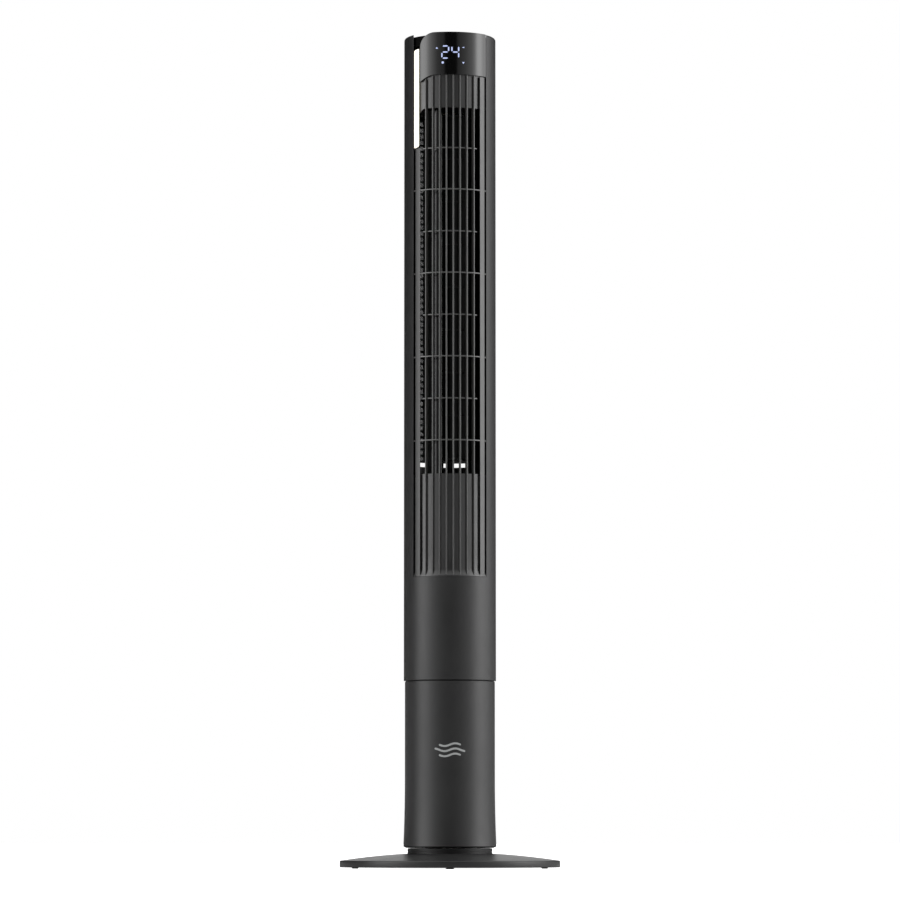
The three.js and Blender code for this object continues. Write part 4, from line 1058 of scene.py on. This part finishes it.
# %% [markdown]
# ## Grille ribs
# Level ribs keep fingers out and hold the bars at their pitch. Every second one is longer
# and stands at the bars' face; the others lie deeper, so the bars cross in front of them.

# %% Grille ribs
RIB_PITCH, RIB_HEIGHT = 59.5, 1.8
FIRST_RIB = WINDOW_HIGH - 57.5
SHORT_RIB = (38.6, 62.4, 2.4)
LONG_RIB = (51.2, 65.0, 2.6)

ribs = []
for number, middle in enumerate(np.arange(FIRST_RIB, WINDOW_LOW + RIB_HEIGHT, -RIB_PITCH)):
    half, face, depth = LONG_RIB if number % 2 else SHORT_RIB
    x = np.linspace(-half, half, 61)
    low, high = middle - RIB_HEIGHT / 2, middle + RIB_HEIGHT / 2
    ribs.append(front_plate(x, low, high, face, depth, rows=1))
ribs = gathered(*ribs)
# The ribs share the bars' finish, with its painted light and painted shade.
add_piece("grille_ribs", ribs, "tower", "grille_plastic", finish=painted_light_and_shade_bars, bevel=0.5)

# %% [markdown]
# ## Closed walls of the grille
# Above and below the open window a wall stands between the bars, so the grooves go on and
# the eye takes the whole front for one grille. The lower wall curves out at its foot until
# it meets the housing, and the upper one has its left corner cut back in a sweep.

# %% Closed walls of the grille
BLANK_FACE, BLANK_BACK = 62.0, 59.0
BLANK_HALF, BLANK_LEFT, BLANK_HIGH = 51.2, -42.3, 1127.0
HEM_START, HEM_DROP, HEM_WIDTH = -35.4, 6.0, 6.9
RAMP = np.array(
    [(0.3, 65.4), (1.3, 65.2), (3.3, 64.1), (6.3, 63.0), (8.3, 62.3), (9.8, BLANK_FACE)]
)

blank_x = np.linspace(-BLANK_HALF, BLANK_HALF, 65)
wall_z = np.concatenate([GRILLE_LOW + RAMP[:, 0], np.linspace(440, WINDOW_LOW, 5)])
wall_face = np.concatenate([RAMP[:, 1], np.full(5, BLANK_FACE)])
outer = bent(blank_x, wall_z[:, None], wall_face[:, None])
lower_wall = walled(outer, bent(blank_x, wall_z[:, None], BLANK_BACK))
add_piece("grille_lower_wall", lower_wall, "tower", "grille_plastic")

hem_x = np.linspace(BLANK_LEFT, HEM_START, 9)
hem_x = np.concatenate([hem_x, np.linspace(HEM_START, BLANK_HALF, 56)[1:]])
hem = WINDOW_HIGH - HEM_DROP * (np.clip(HEM_START - hem_x, 0, 9) / HEM_WIDTH) ** 2
upper_wall = front_plate(hem_x, hem, np.full(len(hem_x), BLANK_HIGH), BLANK_FACE, 2.4, rows=3)
add_piece("grille_upper_wall", upper_wall, "tower", "grille_plastic")

# %% [markdown]
# ## Groove walls
# Behind each end bar a wall closes the groove between the grille and the shell, so
# that no light comes through at the sides. Its near-zero black is painted shade, put
# where the groove is in shadow.

# %% Groove walls
GROOVE_WALLS = ((-53.5, -44.5, LAMP_LOW - 2.0), (44.5, 53.5, PANEL_LOW - 1.2))

walls = gathered(*[strip(*wall, BAR_BACK + 0.3, 1.6) for wall in GROOVE_WALLS])
# The groove walls' finish is painted shade.
add_piece("groove_walls", walls, "tower", "grille_plastic", finish=painted_shade_finish)

# %% [markdown]
# ## Outlet tongue
# A plate with a round lip lies behind the left bars, along the whole outlet. It parts the
# air that leaves from the air that goes round again, and its lip shows as a soft upright
# highlight between the bars. It is one outline, drawn straight up.

# %% Outlet tongue
LIP_CENTRE = (-16.5, -37.5)
LIP_RADIUS = 7.5
PLATE_LEFT = -34.4
TONGUE_LOW, TONGUE_HIGH = 554.7, 1078.7

lip_x, lip_y = at(LIP_RADIUS, np.linspace(-82, 262, 49))
outline_x = [PLATE_LEFT, *(LIP_CENTRE[0] + lip_x), PLATE_LEFT]
outline_y = [LIP_CENTRE[1] - 1, *(LIP_CENTRE[1] + lip_y), LIP_CENTRE[1] + 1]
tongue = raised(outline_x, outline_y, TONGUE_LOW, TONGUE_HIGH)
# Its near-zero colour is black plastic and painted shade on the plate; the lip's highlight comes
# from its gloss.
add_piece("outlet_tongue", tongue, "tower", "inner_plastic", ["duct_tongue"], tongue_plastic)

# %% [markdown]
# ## Impeller
# Thirty short blades, bent forward, make a cage around the shaft's line. Seven thin rings
# tie them at even heights. One blade is a dozen faces, turned thirty times.

# %% Impeller
AXIS_Y = 6.0
IMPELLER_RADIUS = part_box("impeller")[1].x / MM
print("impeller radius", round(IMPELLER_RADIUS, 1))
BLADES, RINGS = 30, 7
BLADE_DEPTH, BLADE_SWING = 8.5, 15
BLADE_LOW, BLADE_HIGH = 580.0, 1070.0
RING_INSIDE, RING_OUTSIDE, RING_HALF = 9.5, 0.6, 0.8
AXLE_RADIUS, HUB_RADIUS = 4, 6
HUB = [(0, 553), (AXLE_RADIUS, 553), (AXLE_RADIUS, 566), (HUB_RADIUS, 567), (HUB_RADIUS, 578.2)]
AXLE_LOW, AXLE_HIGH = 1071.8, 1086


def blade(bearing):
    """A curved strip, a millimetre thick, whose bearing swings forward with the radius."""
    share = np.linspace(0, 1, 5)
    radius = IMPELLER_RADIUS - 0.4 - BLADE_DEPTH * (1 - share)
    swing = BLADE_SWING * share**1.6
    face = at(radius, bearing + swing)
    back = at(radius[::-1], bearing + swing[::-1] + np.degrees(1.0 / radius[::-1]))
    x, y = np.concatenate([face, back], axis=1)
    return raised(x, y + AXIS_Y, BLADE_LOW, BLADE_HIGH)


def on_shaft(profile, sides=64):
    """A profile turned about the impeller's own axis."""
    points, faces = turned(profile, sides)
    return points + np.array([0, AXIS_Y, 0]), faces


def disc(radius, low, high, sides=64):
    """A plain disc about the impeller's own axis."""
    return on_shaft([(0, low), (radius, low), (radius, high), (0, high)], sides)


# Blades and rings are near-zero black: black plastic, and painted shade for the dark inside the
# housing.
blades = gathered(*[blade(number * 360 / BLADES) for number in range(BLADES)])
add_piece("impeller_blades", blades, "impeller", "inner_plastic", ["impeller"], impeller_plastic)

inside, outside = IMPELLER_RADIUS - RING_INSIDE, IMPELLER_RADIUS - RING_OUTSIDE
rings = []
for middle in np.linspace(BLADE_LOW, BLADE_HIGH, RINGS + 2)[1:-1]:
    low, high = middle - RING_HALF, middle + RING_HALF
    rings.append(on_shaft([(inside, low), (outside, low), (outside, high), (inside, high)]))
edge = IMPELLER_RADIUS - 0.2
rings.append(disc(edge, BLADE_LOW - 2, BLADE_LOW + 0.2))
rings.append(disc(edge, BLADE_HIGH - 0.2, BLADE_HIGH + 2))
rings.append(on_shaft([*HUB, (0, HUB[-1][1])], 32))
rings.append(disc(AXLE_RADIUS, AXLE_LOW, AXLE_HIGH, 32))
rings = gathered(*rings)
add_piece("impeller_rings", rings, "impeller", "inner_plastic", finish=impeller_plastic)

# %% [markdown]
# ## Top lid
# A lid closes the housing a little below the shell's rounded rim. It is dished, with a
# shallow grip ring. Its finish is a black that gives back almost nothing: black plastic,
# and painted shade, so its edge reads as the shadow in the notch between the shell and
# the display.

# %% Top lid
LID_RADIUS, SKIRT_RADIUS = 62.4, 59.4
LID_HIGH, LID_UNDERSIDE, SKIRT_LOW = 1182.6, 1176.0, 1168.4
lid_profile = [
    (0, LID_UNDERSIDE),
    (SKIRT_RADIUS, LID_UNDERSIDE),
    (SKIRT_RADIUS, SKIRT_LOW),
    (LID_RADIUS, SKIRT_LOW),
    (LID_RADIUS, LID_HIGH - 0.9),
    (LID_RADIUS - 0.4, LID_HIGH - 0.25),
    (LID_RADIUS - 1.0, LID_HIGH),
    (LID_RADIUS - 5.0, LID_HIGH),
    (LID_RADIUS - 6.5, LID_HIGH - 1.2),
    (46.0, LID_HIGH - 2.2),
    (44.6, LID_HIGH - 1.6),
    (43.4, LID_HIGH - 1.6),
    (42.0, LID_HIGH - 2.3),
    (0, LID_HIGH - 2.9),
]
lid = turned(lid_profile, 144)
# The lid's finish is painted shade, for the shadow in the notch.
add_piece("top_lid", lid, "tower", "inner_plastic", ["top_cap"], painted_shade_finish)

# %% [markdown]
# ## Feet
# The fan stands on four long rubber pads with soft lower edges. Each is one outline drawn
# in towards its sole, level by level, and turned to its place on the circle.

# %% Feet
FOOT_CIRCLE = 134.0
FOOT_LENGTH, FOOT_WIDTH = 12.0, 9.3
FOOT_LEVELS = [
    (1.2, 0.0),
    (0.5, 0.15),
    (0.12, 0.5),
    (0.0, 0.9),
    (0.0, 1.5),
    (1.6, 1.5),
    (1.9, 3.9),
]


def pad_outline(inset, height):
    """A long round-ended outline, drawn in by `inset`, at a height."""
    end = FOOT_WIDTH / 2
    angle = np.radians(np.linspace(-90, 90, 13))
    half = np.stack([(end - inset) * np.cos(angle), (end - inset) * np.sin(angle)], -1)
    reach = (FOOT_LENGTH - FOOT_WIDTH) / 2
    right = half + [reach, 0]
    outline = np.concatenate([right, -right])
    return np.concatenate([outline, np.full((len(outline), 1), height)], 1)


pad = stacked(np.array([pad_outline(inset, height) for inset, height in FOOT_LEVELS]))
for side, bearing in {"front": 0, "right": 90, "rear": 180, "left": 270}.items():
    turn = np.radians(bearing)
    spin = np.array([[np.cos(turn), np.sin(turn)], [-np.sin(turn), np.cos(turn)]])
    points = pad[0].copy()
    points[:, :2] = points[:, :2] @ spin + at(FOOT_CIRCLE, bearing)
    add_piece("pad_" + side, (points, pad[1]), "base", "rubber", ["foot_" + side])

# %% [markdown]
# ## Cable gland
# A ribbed rubber collar fills the hole low on the back, where the cable would pass. It is
# turned about its own axis and then laid on its side, at the height of the hole.

# %% Cable gland
GLAND_FRONT = [
    (3.9, 14),
    (8.0, 14),
    (8.0, 2.0),
    (10.6, 2.0),
    (11.0, 1.6),
    (10.6, 0.7),
    (8.6, 0.35),
    (7.8, 0.8),
    (7.0, 0.1),
    (4.9, 0),
    (3.9, 0.7),
]

gland_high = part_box("cord_gland")[1].y / MM
points, faces = turned([(radius, gland_high - depth) for radius, depth in GLAND_FRONT], 48)
points = points[:, [0, 2, 1]] * [1, 1, -1] + [0, 0, GLAND_HEIGHT]
add_piece("gland_collar", (points, faces), "tower", "rubber", ["cord_gland"])

# %% [markdown]
# ## Emblem
# A plain print of three air waves sits low on the column. Each is a ribbon along a sine,
# bent onto the column and a tenth of a millimetre proud of it.

# %% Air wave emblem
EMBLEM_MIDDLE = 166.5
EMBLEM_FACE, EMBLEM_DEPTH = COLUMN_RADIUS + 0.12, 0.3
WAVE_HALF, WAVE_RISE, HALF_PERIOD = 1.35, 1.9, 15.0
WAVE_SPACING = 7.2
SHORT_WAVE, LONG_WAVE = 15.5, 21.5


def air_wave(middle, half_length):
    """A ribbon of even width along a sine, with round ends, bent onto the column. Its
    points step along by a sine too, which puts them close together at the round ends."""
    along = np.sin(np.linspace(-np.pi / 2, np.pi / 2, 41)) * half_length
    phase = np.pi * along / HALF_PERIOD
    height = middle + WAVE_RISE * np.sin(phase)
    slope = WAVE_RISE * np.pi / HALF_PERIOD * np.cos(phase)
    length = np.sqrt(1 + slope**2)
    into_end = np.clip(np.abs(along) - (half_length - WAVE_HALF), 0, WAVE_HALF)
    half = np.sqrt(np.maximum(WAVE_HALF**2 - into_end**2, 0.0025))
    side = np.array([-1.0, 1.0])
    x = along[:, None] - side * (half * slope / length)[:, None]
    z = height[:, None] + side * (half / length)[:, None]
    return walled(bent(x, z, EMBLEM_FACE), bent(x, z, EMBLEM_FACE - EMBLEM_DEPTH))


def printed_grey():
    """Pale grey print, slightly rough, with tiny pinholes in its tone."""
    finish = Finish("printed_grey", Roughness=0.45)
    speckle = finish.noise(900, 2.0)
    finish.feed("Base Color", finish.blend(speckle, (0.30, 0.31, 0.31), (0.38, 0.39, 0.39)))
    return finish.material


waves = [
    air_wave(EMBLEM_MIDDLE + WAVE_SPACING, SHORT_WAVE),
    air_wave(EMBLEM_MIDDLE, LONG_WAVE),
    air_wave(EMBLEM_MIDDLE - WAVE_SPACING, SHORT_WAVE),
]
add_piece("air_emblem", gathered(*waves), "tower", "zinc", finish=printed_grey())

# %% [markdown]
# ## Studio
# The fan stands on a pale floor in front of white. What it mirrors matters more: a dark
# zone where the camera stands, a tall soft light on each side, and dimmer walls between.
# The world is written as a function of the direction, so the bands run straight up the
# column, and the camera sees plain white wherever it looks past the fan.

# %% Floor
FLOOR_HALF = 40.0


def pale_floor():
    """Pale matt floor with the faintest clouds. The camera sees it as a white sweep, and
    the fan is lit by it only as much as a matt floor would."""
    finish = Finish("pale_floor", Roughness=0.9, Emission_Strength=1.0)
    clouds = finish.noise(2, 2.0)
    finish.feed("Base Color", finish.blend(clouds, grey(0.48), grey(0.52)))
    is_seen = finish.node("ShaderNodeLightPath", output="Is Camera Ray")
    finish.feed("Emission Color", finish.blend(is_seen, grey(0.02), grey(1.0)))
    return finish.material


floor_mesh = bpy.data.meshes.new("floor")
floor_corners = [(x, y, 0.0) for x, y in ((-1, -1), (1, -1), (1, 1), (-1, 1))]
floor_mesh.from_pydata(
    [(FLOOR_HALF * x, FLOOR_HALF * y, z) for x, y, z in floor_corners], [], [(0, 1, 2, 3)]
)
floor_mesh.materials.append(pale_floor())
floor = bpy.data.objects.new("floor", floor_mesh)
bpy.context.scene.collection.objects.link(floor)

# %% World
# Bearing round the fan in degrees, 0 where the camera stands, and brightness there.
SURROUNDINGS = [
    (-180, 0.9), (-175, 0.9), (-170, 0.02), (-104, 0.015), (-94, 0.25), (-84, 3.4),
    (-74, 4.6), (-64, 4.2), (-54, 2.2), (-44, 1.3), (-32, 0.55), (-14, 0.28), (-12, 0.03),
    (17, 0.03), (19, 0.28), (40, 0.7), (58, 1.4), (66, 2.4), (75, 5.4), (84, 5.2),
    (94, 3.2), (106, 2.8), (114, 1.7), (124, 0.5), (140, 0.2), (168, 0.04), (175, 0.9),
    (180, 0.9),
]
WORLD_STRENGTH = 6.0
OVERHEAD = 0.2


class WorldTree(Finish):
    """The same helpers on the world's own node tree."""

    def __init__(self, name):
        self.material = bpy.data.worlds.new(name)
        self.material.use_nodes = True
        self.tree = self.material.node_tree
        self.shader = self.tree.nodes["Background"]


studio = WorldTree("studio")
bpy.context.scene.world = studio.material
direction = studio.node("ShaderNodeTexCoord", output="Generated")
east, north, up_axis = studio.axes(direction)
turn_share = studio.math("ARCTAN2", east, -1.0 * north) * (0.5 / np.pi) + 0.5
stops = [
    ((bearing + 180) / 360, grey(level / WORLD_STRENGTH)) for bearing, level in SURROUNDINGS
]
bands = studio.node("ShaderNodeValToRGB", {"stops": stops}, {0: turn_share})
smooth = {"interpolation_type": "SMOOTHSTEP"}
sky_share = studio.node("ShaderNodeMapRange", smooth, {0: up_axis, 1: 0.45, 2: 0.95})
overhead = studio.blend(sky_share, bands, grey(OVERHEAD))
is_seen = studio.node("ShaderNodeLightPath", output="Is Camera Ray")
studio.feed("Color", studio.blend(is_seen, overhead, grey(1 / WORLD_STRENGTH)))
studio.shader.inputs["Strength"].default_value = WORLD_STRENGTH
bpy.context.scene.view_settings.view_transform = "Standard"
print("studio of", len(SURROUNDINGS), "bands")
